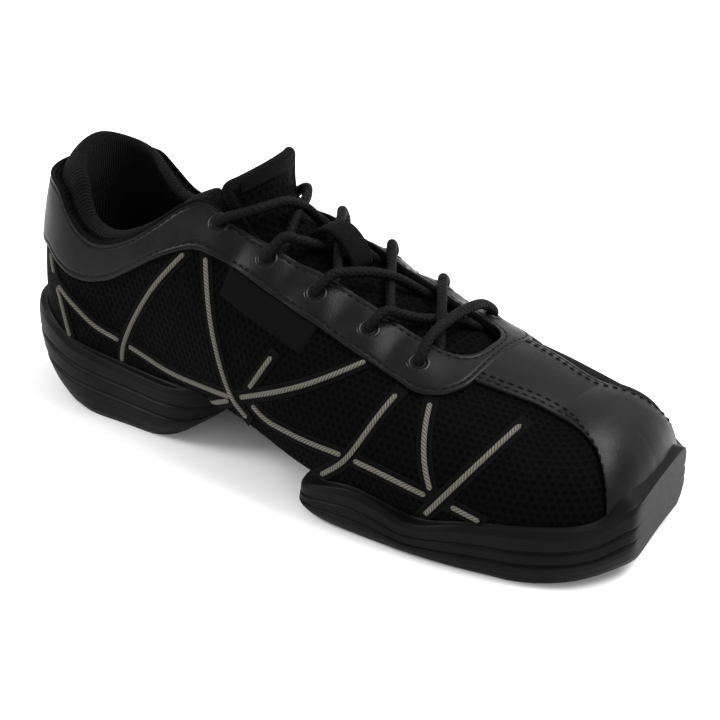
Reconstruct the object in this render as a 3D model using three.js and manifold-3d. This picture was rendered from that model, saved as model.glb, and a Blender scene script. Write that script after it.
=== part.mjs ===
// Split-sole dance sneaker, right shoe, standing on the floor.
// Millimetres, +X to the toe, +Y to the inner (medial) side, +Z up.
import * as THREE from "three";
import { mergeVertices } from "three/addons/utils/BufferGeometryUtils.js";
import Module from "manifold-3d";

const wasm = await Module();
wasm.setup();

// Last: the upper's sections fan about an upright axis in the heel, slice the body, and fan again at the toe.
const HEEL_AXIS = 35; // from the back of the last to the heel's axis
const BODY = 190; // from the heel's axis to the toe's axis
const HALF_BALL = 50; // half width at the ball
const INSTEP = 95; // height of the ridge at the top eyelets
const FULLEST = 38; // height of the fullest part of the heel
const SEAT = 15; // height of the upper's underside at the heel
const UPPER_WALL = 2.2;
const CLEARANCE = 0.3; // between pieces that touch
const RELIEF = 0.5; // between the edges of pieces laid side by side

// Pieces laid on the upper
const BAND_THICKNESS = 1.2;
const TOE_THICKNESS = 1.0;
const LABEL_THICKNESS = 0.7;
const PIPING_WIDTH = 3.4;
const PIPING_THICKNESS = 0.8;
const PIPING_BED = 0.75; // between the piping and the mesh

// Throat and lacing
const THROAT_HALF = 15; // half width of the throat at its middle
const THROAT_FRONT = 191; // from the back of the last to the foot of the throat
const THROAT_ROUND = 18; // length of the rounded foot of the throat
const EYELET_OUTER = 8.4;
const EYELET_BORE = 4.6;
const EYELET_HEIGHT = 1.2;
const LACE_DIAMETER = 3.2;

// Collar lining
const ROLL_THICKNESS = 8; // padded roll at the topline
const ROLL_DEPTH = 38; // how far the lining reaches down inside
const ROLL_PEAK = 11; // how far the roll stands over the leather at the back
const ROLL_SIDE = 2.6; // the same at the sides

// Tongue, its label and the lace keeper
const TONGUE_THICKNESS = 3.6;
const TONGUE_HALF = 23;
const TONGUE_GAP = 0.8; // between the tongue and the inside of the upper
const TONGUE_TOP = 101; // height of the tongue's top edge
const TONGUE_ROLL = 0.1; // its inner corner stands higher, as a slope
const TONGUE_SHIFT = 2.5; // its top leans to the inner side
const TONGUE_LABEL_HALF = 16;
const KEEPER_AT = 130; // middle of the keeper, from the back of the last
const KEEPER_LENGTH = 19;
const KEEPER_HALF = 5.5;
const KEEPER_THICKNESS = 1.2;
const INSOLE_THICKNESS = 3;

// Soles
const RIM = 2.7; // sole's wall outside the upper
const HEEL_BACK = -4.5; // back of the heel unit, from the back of the last
const HEEL_FRONT = 99;
const HEEL_RIM = 39; // height of the heel unit's rim at the back
const HEEL_SCOOP = 20; // how far its ground face starts in front of its back
const HEEL_UNDERCUT = 22; // how far its front leans over the ground face
const FOREFOOT_REAR = 146;
const FOREFOOT_RIM = 27; // height of the rim at the toe
const REAR_ROUND = 26; // length over which the rear end rounds off
const REAR_SLANT = 0.11; // the inner corner lies further forward
const TOE_FACE = 256; // flat toe face on the middle line, from the back of the last
const TOE_FACE_TURN = 0.088; // the face looks this much to the inner side, in radians
const TOE_SPRING = 5;
const TREAD_DEPTH = 1.5;
const TREAD_WIDTH = 3;
const PIVOT_SPOT = 15; // radius of the round spot under the ball
const REST_AT = 47; // middle of the heel's ground face, from the back of the last

// Reach of the sections from the spine, as shares of HALF_BALL. Turn is -1 at the heel's back, 0 at the
// heel's axis, 1 at the toe's axis and 2 at the toe's tip.
const REACH = [
  { turn: -1, lateral: 0.72, medial: 0.72 },
  { turn: -0.5, lateral: 0.73, medial: 0.73 },
  { turn: 0, lateral: 0.68, medial: 0.66 },
  { turn: 0.13, lateral: 0.68, medial: 0.64 },
  { turn: 0.29, lateral: 0.77, medial: 0.68 },
  { turn: 0.43, lateral: 0.89, medial: 0.8 },
  { turn: 0.605, lateral: 0.98, medial: 0.9 },
  { turn: 0.79, lateral: 1.01, medial: 0.94 },
  { turn: 0.895, lateral: 0.99, medial: 0.92 },
  { turn: 1, lateral: 0.93, medial: 0.88 },
  { turn: 1.167, lateral: 0.876, medial: 0.85 },
  { turn: 1.333, lateral: 0.832, medial: 0.77 },
  { turn: 1.5, lateral: 0.752, medial: 0.685 },
  { turn: 1.667, lateral: 0.664, medial: 0.61 },
  { turn: 1.833, lateral: 0.6, medial: 0.575 },
  { turn: 2, lateral: 0.57, medial: 0.57 },
];
// Height of each section's fullest point, as a share of FULLEST, and of its underside, as a share of SEAT
const SECTION = [
  { turn: -1, fullest: 1, foot: 1 },
  { turn: 0, fullest: 1, foot: 1 },
  { turn: 0.13, fullest: 0.95, foot: 1.07 },
  { turn: 0.29, fullest: 0.82, foot: 1.47 },
  { turn: 0.43, fullest: 0.71, foot: 1.6 },
  { turn: 0.605, fullest: 0.61, foot: 0.77 },
  { turn: 0.79, fullest: 0.55, foot: 0.6 },
  { turn: 1, fullest: 0.53, foot: 0.6 },
  { turn: 2, fullest: 0.53, foot: 0.6 },
];
// Height of the ridge along the spine, as a share of INSTEP; over the heel it is only the sections' pole
const RIDGE = [
  { along: 0, height: 1.316 },
  { along: 0.13, height: 1.2 },
  { along: 0.21, height: 1.116 },
  { along: 0.305, height: 0.99 },
  { along: 0.42, height: 0.885 },
  { along: 0.525, height: 0.79 },
  { along: 0.637, height: 0.695 },
  { along: 0.737, height: 0.616 },
  { along: 0.816, height: 0.568 },
  { along: 0.895, height: 0.532 },
  { along: 0.958, height: 0.497 },
  { along: 1, height: 0.47 },
];
const UNDER_POWER = 4; // how square the sections are underneath; above they are elliptical

// Lines seen from the side: along is a share of BODY from the heel's axis, height a share of INSTEP.
const TOPLINE = [
  { along: -0.3, height: 0.93 },
  { along: -0.12, height: 0.93 },
  { along: -0.06, height: 0.905 },
  { along: -0.033, height: 0.84 },
  { along: 0, height: 0.775 },
  { along: 0.034, height: 0.745 },
  { along: 0.071, height: 0.747 },
  { along: 0.111, height: 0.774 },
  { along: 0.147, height: 0.812 },
  { along: 0.198, height: 0.882 },
  { along: 0.225, height: 0.924 },
  { along: 0.258, height: 0.95 },
  { along: 0.29, height: 0.945 },
  { along: 0.312, height: 0.925 },
];
const BAND_EDGE = [
  { along: -0.3, height: 0.675 },
  { along: -0.093, height: 0.661 },
  { along: -0.063, height: 0.624 },
  { along: -0.026, height: 0.59 },
  { along: 0.005, height: 0.578 },
  { along: 0.036, height: 0.582 },
  { along: 0.083, height: 0.61 },
  { along: 0.137, height: 0.67 },
  { along: 0.192, height: 0.734 },
  { along: 0.245, height: 0.781 },
  { along: 0.281, height: 0.797 },
  { along: 0.332, height: 0.78 },
  { along: 0.406, height: 0.743 },
  { along: 0.482, height: 0.69 },
  { along: 0.558, height: 0.642 },
  { along: 0.623, height: 0.598 },
  { along: 0.681, height: 0.56 },
  { along: 0.74, height: 0.523 },
  { along: 0.775, height: 0.503 },
  { along: 0.812, height: 0.5 },
  { along: 0.836, height: 0.511 },
  { along: 0.849, height: 0.53 },
  { along: 0.853, height: 0.57 },
];
const LABEL_OUTLINE = [
  { along: 0.36, height: 0.722 },
  { along: 0.566, height: 0.6 },
  { along: 0.554, height: 0.556 },
  { along: 0.355, height: 0.676 },
];
// Half width of the throat, as a share of THROAT_HALF
const THROAT = [
  { along: 0.2, half: 1.2 },
  { along: 0.4, half: 1.25 },
  { along: 0.46, half: 1.2 },
  { along: 0.52, half: 1.08 },
  { along: 0.6, half: 1 },
  { along: 0.83, half: 1 },
];
// Seam of the toe leather seen from above: along as before, half width as a share of HALF_BALL
const TOE_SEAM = [
  { along: 0.82, half: 0.39 },
  { along: 0.866, half: 0.38 },
  { along: 0.913, half: 0.35 },
  { along: 0.959, half: 0.31 },
  { along: 1.015, half: 0.31 },
  { along: 1.063, half: 0.37 },
  { along: 1.097, half: 0.435 },
  { along: 1.114, half: 0.51 },
  { along: 1.131, half: 0.61 },
  { along: 1.16, half: 0.85 },
];
// Rims of the sole units seen from the side, as shares of their own rim heights
const HEEL_RIM_LINE = [
  { along: -0.21, height: 1 },
  { along: -0.12, height: 0.9 },
  { along: -0.03, height: 0.73 },
  { along: 0.03, height: 0.67 },
  { along: 0.096, height: 0.625 },
  { along: 0.2, height: 0.6 },
  { along: 0.27, height: 0.62 },
  { along: 0.34, height: 0.66 },
];
const FOREFOOT_RIM_LINE = [
  { along: 0.58, height: 0.39 },
  { along: 0.642, height: 0.52 },
  { along: 0.705, height: 0.6 },
  { along: 0.763, height: 0.55 },
  { along: 0.81, height: 0.44 },
  { along: 0.843, height: 0.45 },
  { along: 0.923, height: 0.6 },
  { along: 1.015, height: 0.7 },
  { along: 1.095, height: 0.74 },
  { along: 1.135, height: 0.8 },
  { along: 1.165, height: 0.94 },
  { along: 1.2, height: 1 },
];
// Side of each sole unit from the ground up. Level is a share of the rim's height, out is millimetres of
// bulge as a share of RIM, and scoop and undercut are shares of HEEL_SCOOP and HEEL_UNDERCUT.
const HEEL_SIDE = [
  { level: 0, out: -0.9, scoop: 1, undercut: 1 },
  { level: 0.09, out: -0.35, scoop: 0.7, undercut: 0.88 },
  { level: 0.26, out: 0.05, scoop: 0.36, undercut: 0.6 },
  { level: 0.43, out: 0.2, scoop: 0.14, undercut: 0.38 },
  { level: 0.47, out: -0.25, scoop: 0.12, undercut: 0.35 },
  { level: 0.51, out: 0.2, scoop: 0.09, undercut: 0.32 },
  { level: 0.68, out: 0.2, scoop: 0.01, undercut: 0.18 },
  { level: 0.72, out: -0.2, scoop: 0.01, undercut: 0.15 },
  { level: 0.76, out: 0.15, scoop: 0, undercut: 0.12 },
  { level: 0.93, out: 0.05, scoop: 0, undercut: 0.02 },
  { level: 1, out: -0.3, scoop: 0.02, undercut: 0 },
];
const FOREFOOT_SIDE = [
  { level: 0, out: -0.9 },
  { level: 0.1, out: -0.3 },
  { level: 0.25, out: 0.1 },
  { level: 0.36, out: 0.2 },
  { level: 0.4, out: -0.2 },
  { level: 0.44, out: 0.15 },
  { level: 0.6, out: 0.08 },
  { level: 0.64, out: -0.25 },
  { level: 0.68, out: 0.04 },
  { level: 0.9, out: 0 },
  { level: 1, out: -0.3 },
];
// How much further than RIM the forefoot unit reaches about the toe, as a share of RIM
const TOE_PLATFORM = [
  { turn: 1, extra: 0 },
  { turn: 1.333, extra: 0.2 },
  { turn: 1.5, extra: 0.8 },
  { turn: 1.667, extra: 1.9 },
  { turn: 2, extra: 2.4 },
];
const SEAT_OPENING = { from: -0.25, to: 0.255 }; // shares of BODY from the heel's axis
const FOREPART_OPENING = { from: 0.64, to: 1.25 };

// Eyelets: along as before, away from the middle line as a share of HALF_BALL. Hump is how much higher the
// laces below an eyelet cross, as a share of LACE_DIAMETER, and bow how far they bend round the tongue, as a
// share of the way to the next eyelet.
const EYELETS = [
  { along: 0.309, away: 0.44, hump: 0.5, bow: 0.34 },
  { along: 0.424, away: 0.475, hump: 0, bow: 0 },
  { along: 0.534, away: 0.485, hump: 0, bow: 0 },
  { along: 0.648, away: 0.49, hump: 0, bow: 0 },
  { along: 0.753, away: 0.5, hump: 0, bow: 0 },
];
// Piping: each line is a row of points, turn along the last and height as a share of INSTEP.
const PIPING = [
  { line: "back edge", turns: [-0.36, -0.29, -0.25], heights: [0.7, 0.59, 0.54] },
  { line: "back fall", turns: [-0.25, -0.2, -0.1], heights: [0.54, 0.47, 0.26] },
  { line: "heel sweep", turns: [-0.25, -0.064, 0.035, 0.11], heights: [0.54, 0.466, 0.4, 0.36] },
  { line: "heel arc", turns: [0.265, 0.18, 0.11, 0.096], heights: [0.8, 0.595, 0.36, 0.25] },
  { line: "arch run", turns: [0.11, 0.243, 0.388, 0.43], heights: [0.36, 0.317, 0.334, 0.345] },
  { line: "waist arc", turns: [0.297, 0.359, 0.43, 0.505], heights: [0.81, 0.537, 0.345, 0.255] },
  { line: "waist link", turns: [0.43, 0.578, 0.68], heights: [0.345, 0.47, 0.575] },
  { line: "waist spur", turns: [0.445, 0.462, 0.503], heights: [0.35, 0.402, 0.545] },
  { line: "arch sweep", turns: [0.43, 0.511, 0.601, 0.695], heights: [0.345, 0.293, 0.282, 0.288] },
  { line: "fore slant", turns: [0.75, 0.695, 0.63], heights: [0.51, 0.288, 0.17] },
  { line: "fore run", turns: [0.695, 0.77, 0.868], heights: [0.288, 0.27, 0.24] },
  { line: "fore post", turns: [0.802, 0.835, 0.868], heights: [0.5, 0.36, 0.24] },
  { line: "toe slant", turns: [0.962, 0.93, 0.868, 0.85], heights: [0.47, 0.355, 0.24, 0.14] },
  { line: "toe spur", turns: [0.868, 0.902, 0.965], heights: [0.24, 0.228, 0.19] },
];

// Table lookup

// Cubic through a table's rows, with each inner tangent the slope between the neighbours
function tabled(rows, key, column, at) {
  const last = rows.length - 1;
  const t = Math.min(Math.max(at, rows[0][key]), rows[last][key]);
  let i = 0;
  while (i < last - 1 && t > rows[i + 1][key]) i += 1;
  const slope = (a, b) => (rows[b][column] - rows[a][column]) / (rows[b][key] - rows[a][key]);
  const span = rows[i + 1][key] - rows[i][key];
  const start = slope(Math.max(i - 1, 0), i + 1);
  const end = slope(i, Math.min(i + 2, last));
  const s = (t - rows[i][key]) / span;
  const rise = s * s * (3 - 2 * s);
  return (
    rows[i][column] * (1 - rise) +
    rows[i + 1][column] * rise +
    span * s * (1 - s) * ((1 - s) * start - s * end)
  );
}
const alongX = (along) => HEEL_AXIS + along * BODY;
const shareX = (x) => (x - HEEL_AXIS) / BODY;

// The last

const LATERAL = -1;
const MEDIAL = 1;

// Foot of a section on the spine and the direction it looks in, for a turn about the last
function stand(turn, side) {
  const angle = ((turn < 0 ? turn : turn > 1 ? turn - 1 : 0) * Math.PI) / 2;
  return {
    x: alongX(Math.min(Math.max(turn, 0), 1)),
    forward: Math.sin(angle),
    out: side * Math.cos(angle),
  };
}
const reach = (turn, side) => HALF_BALL * tabled(REACH, "turn", side < 0 ? "lateral" : "medial", turn);
const fullest = (turn) => FULLEST * tabled(SECTION, "turn", "fullest", turn);
const foot = (turn) => SEAT * tabled(SECTION, "turn", "foot", turn);
const ridge = (turn) => INSTEP * tabled(RIDGE, "along", "height", turn);

// Point of the last's surface, moved out by grow. Lift runs from -90 degrees underneath on the spine,
// through 0 at the fullest point, to 90 degrees on the ridge.
function lastPoint(turn, side, lift, grow) {
  const s = stand(turn, side);
  const r = reach(turn, side) + grow;
  const low = foot(turn) - grow;
  const mid = fullest(turn);
  const high = ridge(turn) + grow;
  const c = Math.abs(Math.cos(lift));
  const v = Math.abs(Math.sin(lift));
  const away = lift > 0 ? r * c : r * c ** (2 / UNDER_POWER);
  const z = lift > 0 ? mid + (high - mid) * v : mid - (mid - low) * v ** (2 / UNDER_POWER);
  return new THREE.Vector3(s.x + s.forward * away, s.out * away, z);
}
// Point of the last's wall at a height
function wallPoint(turn, side, z, grow) {
  const mid = fullest(turn);
  const v = z > mid ? (z - mid) / (ridge(turn) + grow - mid) : 0;
  const lift = Math.asin(Math.min(v, 1));
  if (z >= mid) return lastPoint(turn, side, lift, grow);
  const d = Math.min((mid - z) / (mid - foot(turn) + grow), 1);
  return lastPoint(turn, side, -Math.asin(d ** (UNDER_POWER / 2)), grow);
}
// Height of the last's top at a distance from the middle line
function topHeight(x, y, grow) {
  const turn = shareX(x);
  const r = reach(turn, y < 0 ? LATERAL : MEDIAL) + grow;
  const mid = fullest(turn);
  return mid + (ridge(turn) + grow - mid) * Math.sqrt(Math.max(1 - (y / r) ** 2, 0));
}

// Solids

// Closed surface from points and triangles, with doubles merged and faces out
function toSolid(points, faces) {
  const geometry = new THREE.BufferGeometry().setFromPoints(points);
  geometry.setIndex(faces);
  return geometrySolid(geometry);
}
function geometrySolid(geometry) {
  const bare = new THREE.BufferGeometry().setAttribute("position", geometry.getAttribute("position"));
  if (geometry.index) bare.setIndex(geometry.index);
  const merged = mergeVertices(bare, 1e-4);
  const kept = [];
  const index = merged.index.array;
  for (let i = 0; i < index.length; i += 3) {
    const [a, b, c] = [index[i], index[i + 1], index[i + 2]];
    if (a !== b && b !== c && c !== a) kept.push(a, b, c);
  }
  const build = (triVerts) =>
    new wasm.Manifold(
      new wasm.Mesh({
        numProp: 3,
        vertProperties: new Float32Array(merged.attributes.position.array),
        triVerts: new Uint32Array(triVerts),
      }),
    );
  const made = build(kept);
  if (made.volume() > 0) return made;
  for (let i = 0; i < kept.length; i += 3) [kept[i], kept[i + 1]] = [kept[i + 1], kept[i]];
  return build(kept);
}
// Body through rings of equal count, each end closed by a fan to its middle
function loft(rings) {
  const points = rings.flat();
  const n = rings[0].length;
  const faces = walls(rings);
  for (const [ring, flip] of [
    [0, true],
    [rings.length - 1, false],
  ]) {
    const middle = new THREE.Vector3();
    for (const p of rings[ring]) middle.addScaledVector(p, 1 / n);
    points.push(middle);
    for (let j = 0; j < n; j += 1) {
      const [a, b] = [ring * n + j, ring * n + ((j + 1) % n)];
      faces.push(...(flip ? [points.length - 1, b, a] : [points.length - 1, a, b]));
    }
  }
  return toSolid(points, faces);
}
// Faces between rings of equal count
function walls(rings) {
  const n = rings[0].length;
  const faces = [];
  for (let i = 0; i + 1 < rings.length; i += 1)
    for (let j = 0; j < n; j += 1) {
      const k = (j + 1) % n;
      const [a, b, c, d] = [i * n + j, i * n + k, (i + 1) * n + k, (i + 1) * n + j];
      faces.push(a, b, c, a, c, d);
    }
  return faces;
}
// Thin sheet through rings, each one face's row and then the other's back, closed by rungs between them
function sheet(rings) {
  const n = rings[0].length;
  const faces = walls(rings);
  for (const [ring, flip] of [
    [0, true],
    [rings.length - 1, false],
  ])
    for (let j = 0; j + 1 < n / 2; j += 1) {
      const [a, b, c, d] = [j, j + 1, n - j - 2, n - j - 1].map((k) => ring * n + k);
      faces.push(...(flip ? [a, c, b, a, d, c] : [a, b, c, a, c, d]));
    }
  return toSolid(rings.flat(), faces);
}
// Body between the rings of two sides that share their first and last points, closed by rungs
function ladder(rings) {
  const points = rings.flat();
  const n = rings[0].length;
  const faces = walls(rings);
  const half = n / 2;
  for (const [ring, flip] of [
    [0, true],
    [rings.length - 1, false],
  ])
    for (let j = 0; j < half; j += 1) {
      const [a, b, c, d] = [j, j + 1, n - j - 1, (n - j) % n].map((k) => ring * n + k);
      for (const [p, q, r] of [
        [a, b, c],
        [a, c, d],
      ])
        if (p !== q && q !== r && r !== p) faces.push(...(flip ? [p, r, q] : [p, q, r]));
    }
  return toSolid(points, faces);
}
// Prism across the shoe from an outline seen from the side
function sidePrism(outline) {
  const width = 4 * HALF_BALL;
  const shape = new THREE.Shape(outline.map(([x, z]) => new THREE.Vector2(x, z)));
  const geometry = new THREE.ExtrudeGeometry(shape, { depth: width, bevelEnabled: false });
  geometry.rotateX(Math.PI / 2).translate(0, width / 2, 0);
  return geometrySolid(geometry);
}
// Upright prism from an outline seen from above
function planPrism(outline, bottom, top) {
  const shape = new THREE.Shape(outline.map(([x, y]) => new THREE.Vector2(x, y)));
  const geometry = new THREE.ExtrudeGeometry(shape, { depth: top - bottom, bevelEnabled: false });
  geometry.translate(0, 0, bottom);
  return geometrySolid(geometry);
}
function tube(points, diameter, steps, sides) {
  const ring = new THREE.Shape();
  for (let i = 0; i < sides; i += 1) {
    const a = (2 * Math.PI * i) / sides;
    const [x, y] = [(diameter / 2) * Math.cos(a), (diameter / 2) * Math.sin(a)];
    if (i) ring.lineTo(x, y);
    else ring.moveTo(x, y);
  }
  ring.closePath();
  const extrudePath = new THREE.CatmullRomCurve3(points);
  return geometrySolid(new THREE.ExtrudeGeometry(ring, { steps, extrudePath, bevelEnabled: false }));
}
const join = (solids) => solids.reduce((a, b) => a.add(b));

// The whole last, grown by a distance
const TURNS = [-1, -0.8, -0.6, -0.4, -0.2, 0, 0.1, 0.2, 0.29, 0.38, 0.47, 0.56, 0.65, 0.74, 0.83, 0.92, 1,
  1.2, 1.4, 1.6, 1.8, 2];
const LIFTS = [-90, -55, -25, 0, 17, 33, 48, 62, 76, 90];
function lastSolid(grow) {
  const rings = LIFTS.map((degrees) => {
    const lift = (degrees * Math.PI) / 180;
    const lateral = TURNS.map((turn) => lastPoint(turn, LATERAL, lift, grow));
    const medial = TURNS.slice(1, -1).map((turn) => lastPoint(turn, MEDIAL, lift, grow));
    return [...lateral, ...medial.reverse()];
  });
  return ladder(rings);
}

// Lines

// Points of a line in a table, as x and height, with steps between its rows
function sideLine(rows, size, steps, raise = 0) {
  const line = [];
  const [from, to] = [rows[0].along, rows[rows.length - 1].along];
  for (let i = 0; i <= steps; i += 1) {
    const along = from + ((to - from) * i) / steps;
    line.push([alongX(along), size * tabled(rows, "along", "height", along) + raise]);
  }
  return line;
}
const HIGH = 2 * INSTEP;
const above = (line) => sidePrism([...line, [line[line.length - 1][0], HIGH], [line[0][0], HIGH]]);
const below = (line) => sidePrism([...line, [line[line.length - 1][0], -HIGH], [line[0][0], -HIGH]]);
const heelRim = (x) => HEEL_RIM * tabled(HEEL_RIM_LINE, "along", "height", shareX(x));
const forefootRim = (x) => FOREFOOT_RIM * tabled(FOREFOOT_RIM_LINE, "along", "height", shareX(x));
// What lies below the floor of an opening under the upper
function openingCut(opening, inward, raise) {
  const line = [];
  const steps = 12;
  for (let i = 0; i <= steps; i += 1) {
    const along = opening.from + ((opening.to - opening.from) * i) / steps;
    line.push([alongX(along), foot(Math.min(Math.max(along, -1), 2)) + UPPER_WALL + raise]);
  }
  line[0][0] += inward;
  line[steps][0] -= inward;
  return below(line);
}
// The throat seen from above, narrower by inward
function throatCut(inward) {
  const half = (x) => {
    const wide = THROAT_HALF * tabled(THROAT, "along", "half", shareX(x)) - inward;
    const s = Math.max((x - THROAT_FRONT + THROAT_ROUND) / (THROAT_ROUND - inward), 0);
    return wide * (1 - Math.min(s, 1) ** 3) ** (1 / 3);
  };
  const xs = [alongX(0.22), 95, 108, 122, 134, 148, 162, THROAT_FRONT - THROAT_ROUND];
  for (const s of [0.4, 0.65, 0.82, 0.93, 0.98])
    xs.push(THROAT_FRONT - THROAT_ROUND + (THROAT_ROUND - inward) * s);
  const lateral = xs.map((x) => [x, -half(x)]);
  const medial = xs.map((x) => [x, half(x)]).reverse();
  return planPrism([...lateral, [THROAT_FRONT - inward, 0], ...medial], FULLEST, HIGH);
}

// Pieces

const toplineCut = above(sideLine(TOPLINE, INSTEP, 20));
const throat = throatCut(0);
const openings = [SEAT_OPENING, FOREPART_OPENING];

function upper() {
  return openings
    .reduce((u, o) => u.subtract(openingCut(o, 0, CLEARANCE)), lastSolid(0).subtract(lastSolid(-UPPER_WALL)))
    .subtract(toplineCut)
    .subtract(throat);
}

const bandLine = sideLine(BAND_EDGE, INSTEP, 26);
const bandFront = alongX(BAND_EDGE[BAND_EDGE.length - 1].along);
function overBand(relief) {
  const line = bandLine.map(([x, z]) => [x, z - relief]);
  line.push([bandFront + relief, line[line.length - 1][1]]);
  return above(line);
}
function shell(inner, outer) {
  return lastSolid(outer).subtract(lastSolid(inner));
}
const bandShell = shell(CLEARANCE, CLEARANCE + BAND_THICKNESS);
function collarBand() {
  return bandShell.intersect(overBand(0)).subtract(toplineCut).subtract(throat);
}

// What the soles' rims cover, with an edge gap
const rimCover = join([
  below([...Array(13).keys()].map((i) => {
    const x = HEEL_BACK - RIM + ((HEEL_FRONT - HEEL_BACK + RIM) * i) / 12;
    return [x, heelRim(x) + 2 * RELIEF];
  })),
  below([...Array(19).keys()].map((i) => {
    const x = FOREFOOT_REAR - RIM + ((TOE_FACE + RIM - FOREFOOT_REAR + 2 * RIM) * i) / 18;
    return [x, forefootRim(x) + 2 * RELIEF];
  })),
]);

function toeLeather() {
  const rows = [...Array(13).keys()].map((i) => {
    const [from, to] = [TOE_SEAM[0].along, TOE_SEAM[TOE_SEAM.length - 1].along];
    const along = from + ((to - from) * i) / 12;
    return [alongX(along), HALF_BALL * tabled(TOE_SEAM, "along", "half", along)];
  });
  const front = alongX(1.3);
  const wide = rows[rows.length - 1][1];
  const outline = [
    ...rows.map(([x, y]) => [x, -y]),
    [front, -wide],
    [front, wide],
    ...rows.reverse(),
  ];
  return shell(CLEARANCE, CLEARANCE + TOE_THICKNESS)
    .intersect(planPrism(outline, 0, HIGH))
    .subtract(overBand(RELIEF))
    .subtract(rimCover);
}

function sideLabel() {
  const outline = LABEL_OUTLINE.map(({ along, height }) => [alongX(along), INSTEP * height]);
  const lateralHalf = planPrism([[0, -2 * HALF_BALL], [BODY, -2 * HALF_BALL], [BODY, 0], [0, 0]], 0, HIGH);
  return shell(CLEARANCE, CLEARANCE + LABEL_THICKNESS)
    .intersect(sidePrism(outline))
    .intersect(lateralHalf)
    .subtract(overBand(RELIEF));
}

// Outward direction of the last's wall
function wallNormal(turn, side, z) {
  const step = (dt, dz) => wallPoint(turn + dt, side, z + dz, 0);
  const normal = new THREE.Vector3().crossVectors(
    step(0.01, 0).sub(step(-0.01, 0)),
    step(0, 0.5).sub(step(0, -0.5)),
  );
  return normal.multiplyScalar(-side).normalize();
}
// Strip of a rectangular section laid along a line on the upper's wall
function wallStrip(line, side) {
  const curve = new THREE.SplineCurve(
    line.turns.map((turn, i) => new THREE.Vector2(turn, line.heights[i])),
  );
  const steps = 2 * (line.turns.length - 1);
  const half = PIPING_WIDTH / 2;
  const rings = [];
  for (let i = 0; i <= steps; i += 1) {
    const t = i / steps;
    const p = curve.getPoint(t);
    const step = curve.getTangent(t).multiplyScalar(0.01);
    const at = (k) => wallPoint(p.x + k * step.x, side, INSTEP * (p.y + k * step.y), 0);
    const ahead = at(1).sub(at(-1)).normalize();
    const normal = wallNormal(p.x, side, INSTEP * p.y);
    const across = new THREE.Vector3().crossVectors(ahead, normal).normalize();
    const corner = (a, n) => at(0).addScaledVector(across, a * half).addScaledVector(normal, n);
    const outer = PIPING_BED + PIPING_THICKNESS;
    rings.push([corner(-1, PIPING_BED), corner(1, PIPING_BED), corner(1, outer), corner(-1, outer)]);
  }
  return loft(rings);
}
function pipingNet(side) {
  const covered = overBand(RELIEF).add(rimCover);
  return join(PIPING.map((line) => wallStrip(line, side))).subtract(covered);
}

// Sole units

const ringTurns = [0, 0.25, 0.48, 0.68, 0.84, 0.95, 1];
// Wall of the heel unit at one level: a squarish oval whose half width follows the upper
function heelRing(row) {
  const back = HEEL_BACK + HEEL_SCOOP * row.scoop;
  const front = HEEL_FRONT - HEEL_UNDERCUT * row.undercut;
  const centre = REST_AT;
  const count = 14;
  const sidePoints = (side) => {
    const line = [];
    for (let i = 0; i <= count; i += 1) {
      const angle = (Math.PI * i) / count;
      const c = -Math.cos(angle);
      const power = c < 0 ? 2.75 : 5;
      const x = centre + (c < 0 ? centre - back : front - centre) * Math.sign(c) * Math.abs(c) ** (2 / power);
      const half = reach(Math.max(shareX(x), 0), side) + RIM * (1 + row.out);
      const y = side * half * Math.sin(angle) ** (2 / power);
      line.push(new THREE.Vector3(x, y, row.level * heelRim(x)));
    }
    return line;
  };
  return [...sidePoints(LATERAL), ...sidePoints(MEDIAL).slice(1, -1).reverse()];
}
// Wall of the forefoot unit at one level: a rounded rear end, then the upper's own outline and the toe platform
function forefootRing(row) {
  const grow = RIM * (1 + row.out);
  const rear = FOREFOOT_REAR + RIM - grow;
  const sidePoints = (side) => {
    const line = [];
    const place = (x, y, z0) => {
      const skew = REAR_SLANT * y * Math.min(Math.max(1 - (x - rear) / (2 * REAR_ROUND), 0), 1);
      const rim = forefootRim(x);
      line.push(new THREE.Vector3(x + skew, y, z0 + row.level * (rim - z0)));
    };
    for (const s of ringTurns) {
      const x = rear + REAR_ROUND * (1 - Math.cos((s * Math.PI) / 2));
      const close = (1 - ((rear + REAR_ROUND - x) / REAR_ROUND) ** 5) ** (1 / 5);
      const heelUp = 2 * ((rear + REAR_ROUND - x) / REAR_ROUND) ** 2;
      place(x, side * close * (reach(shareX(x), side) + grow), heelUp);
    }
    for (const turn of [0.765, 0.81, 0.845, 0.885, 0.94, 1]) place(alongX(turn), side * (reach(turn, side) + grow), 0);
    for (const turn of [1.15, 1.3, 1.42, 1.54, 1.66, 1.76, 1.88, 2]) {
      const s = stand(turn, side);
      const r = reach(turn, side) + grow + RIM * tabled(TOE_PLATFORM, "turn", "extra", turn);
      const x = s.x + s.forward * r;
      place(x, s.out * r, TOE_SPRING * ((x - s.x) / (TOE_FACE - s.x)) ** 2);
    }
    return line;
  };
  return [...sidePoints(LATERAL), ...sidePoints(MEDIAL).slice(1, -1).reverse()];
}
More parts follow.
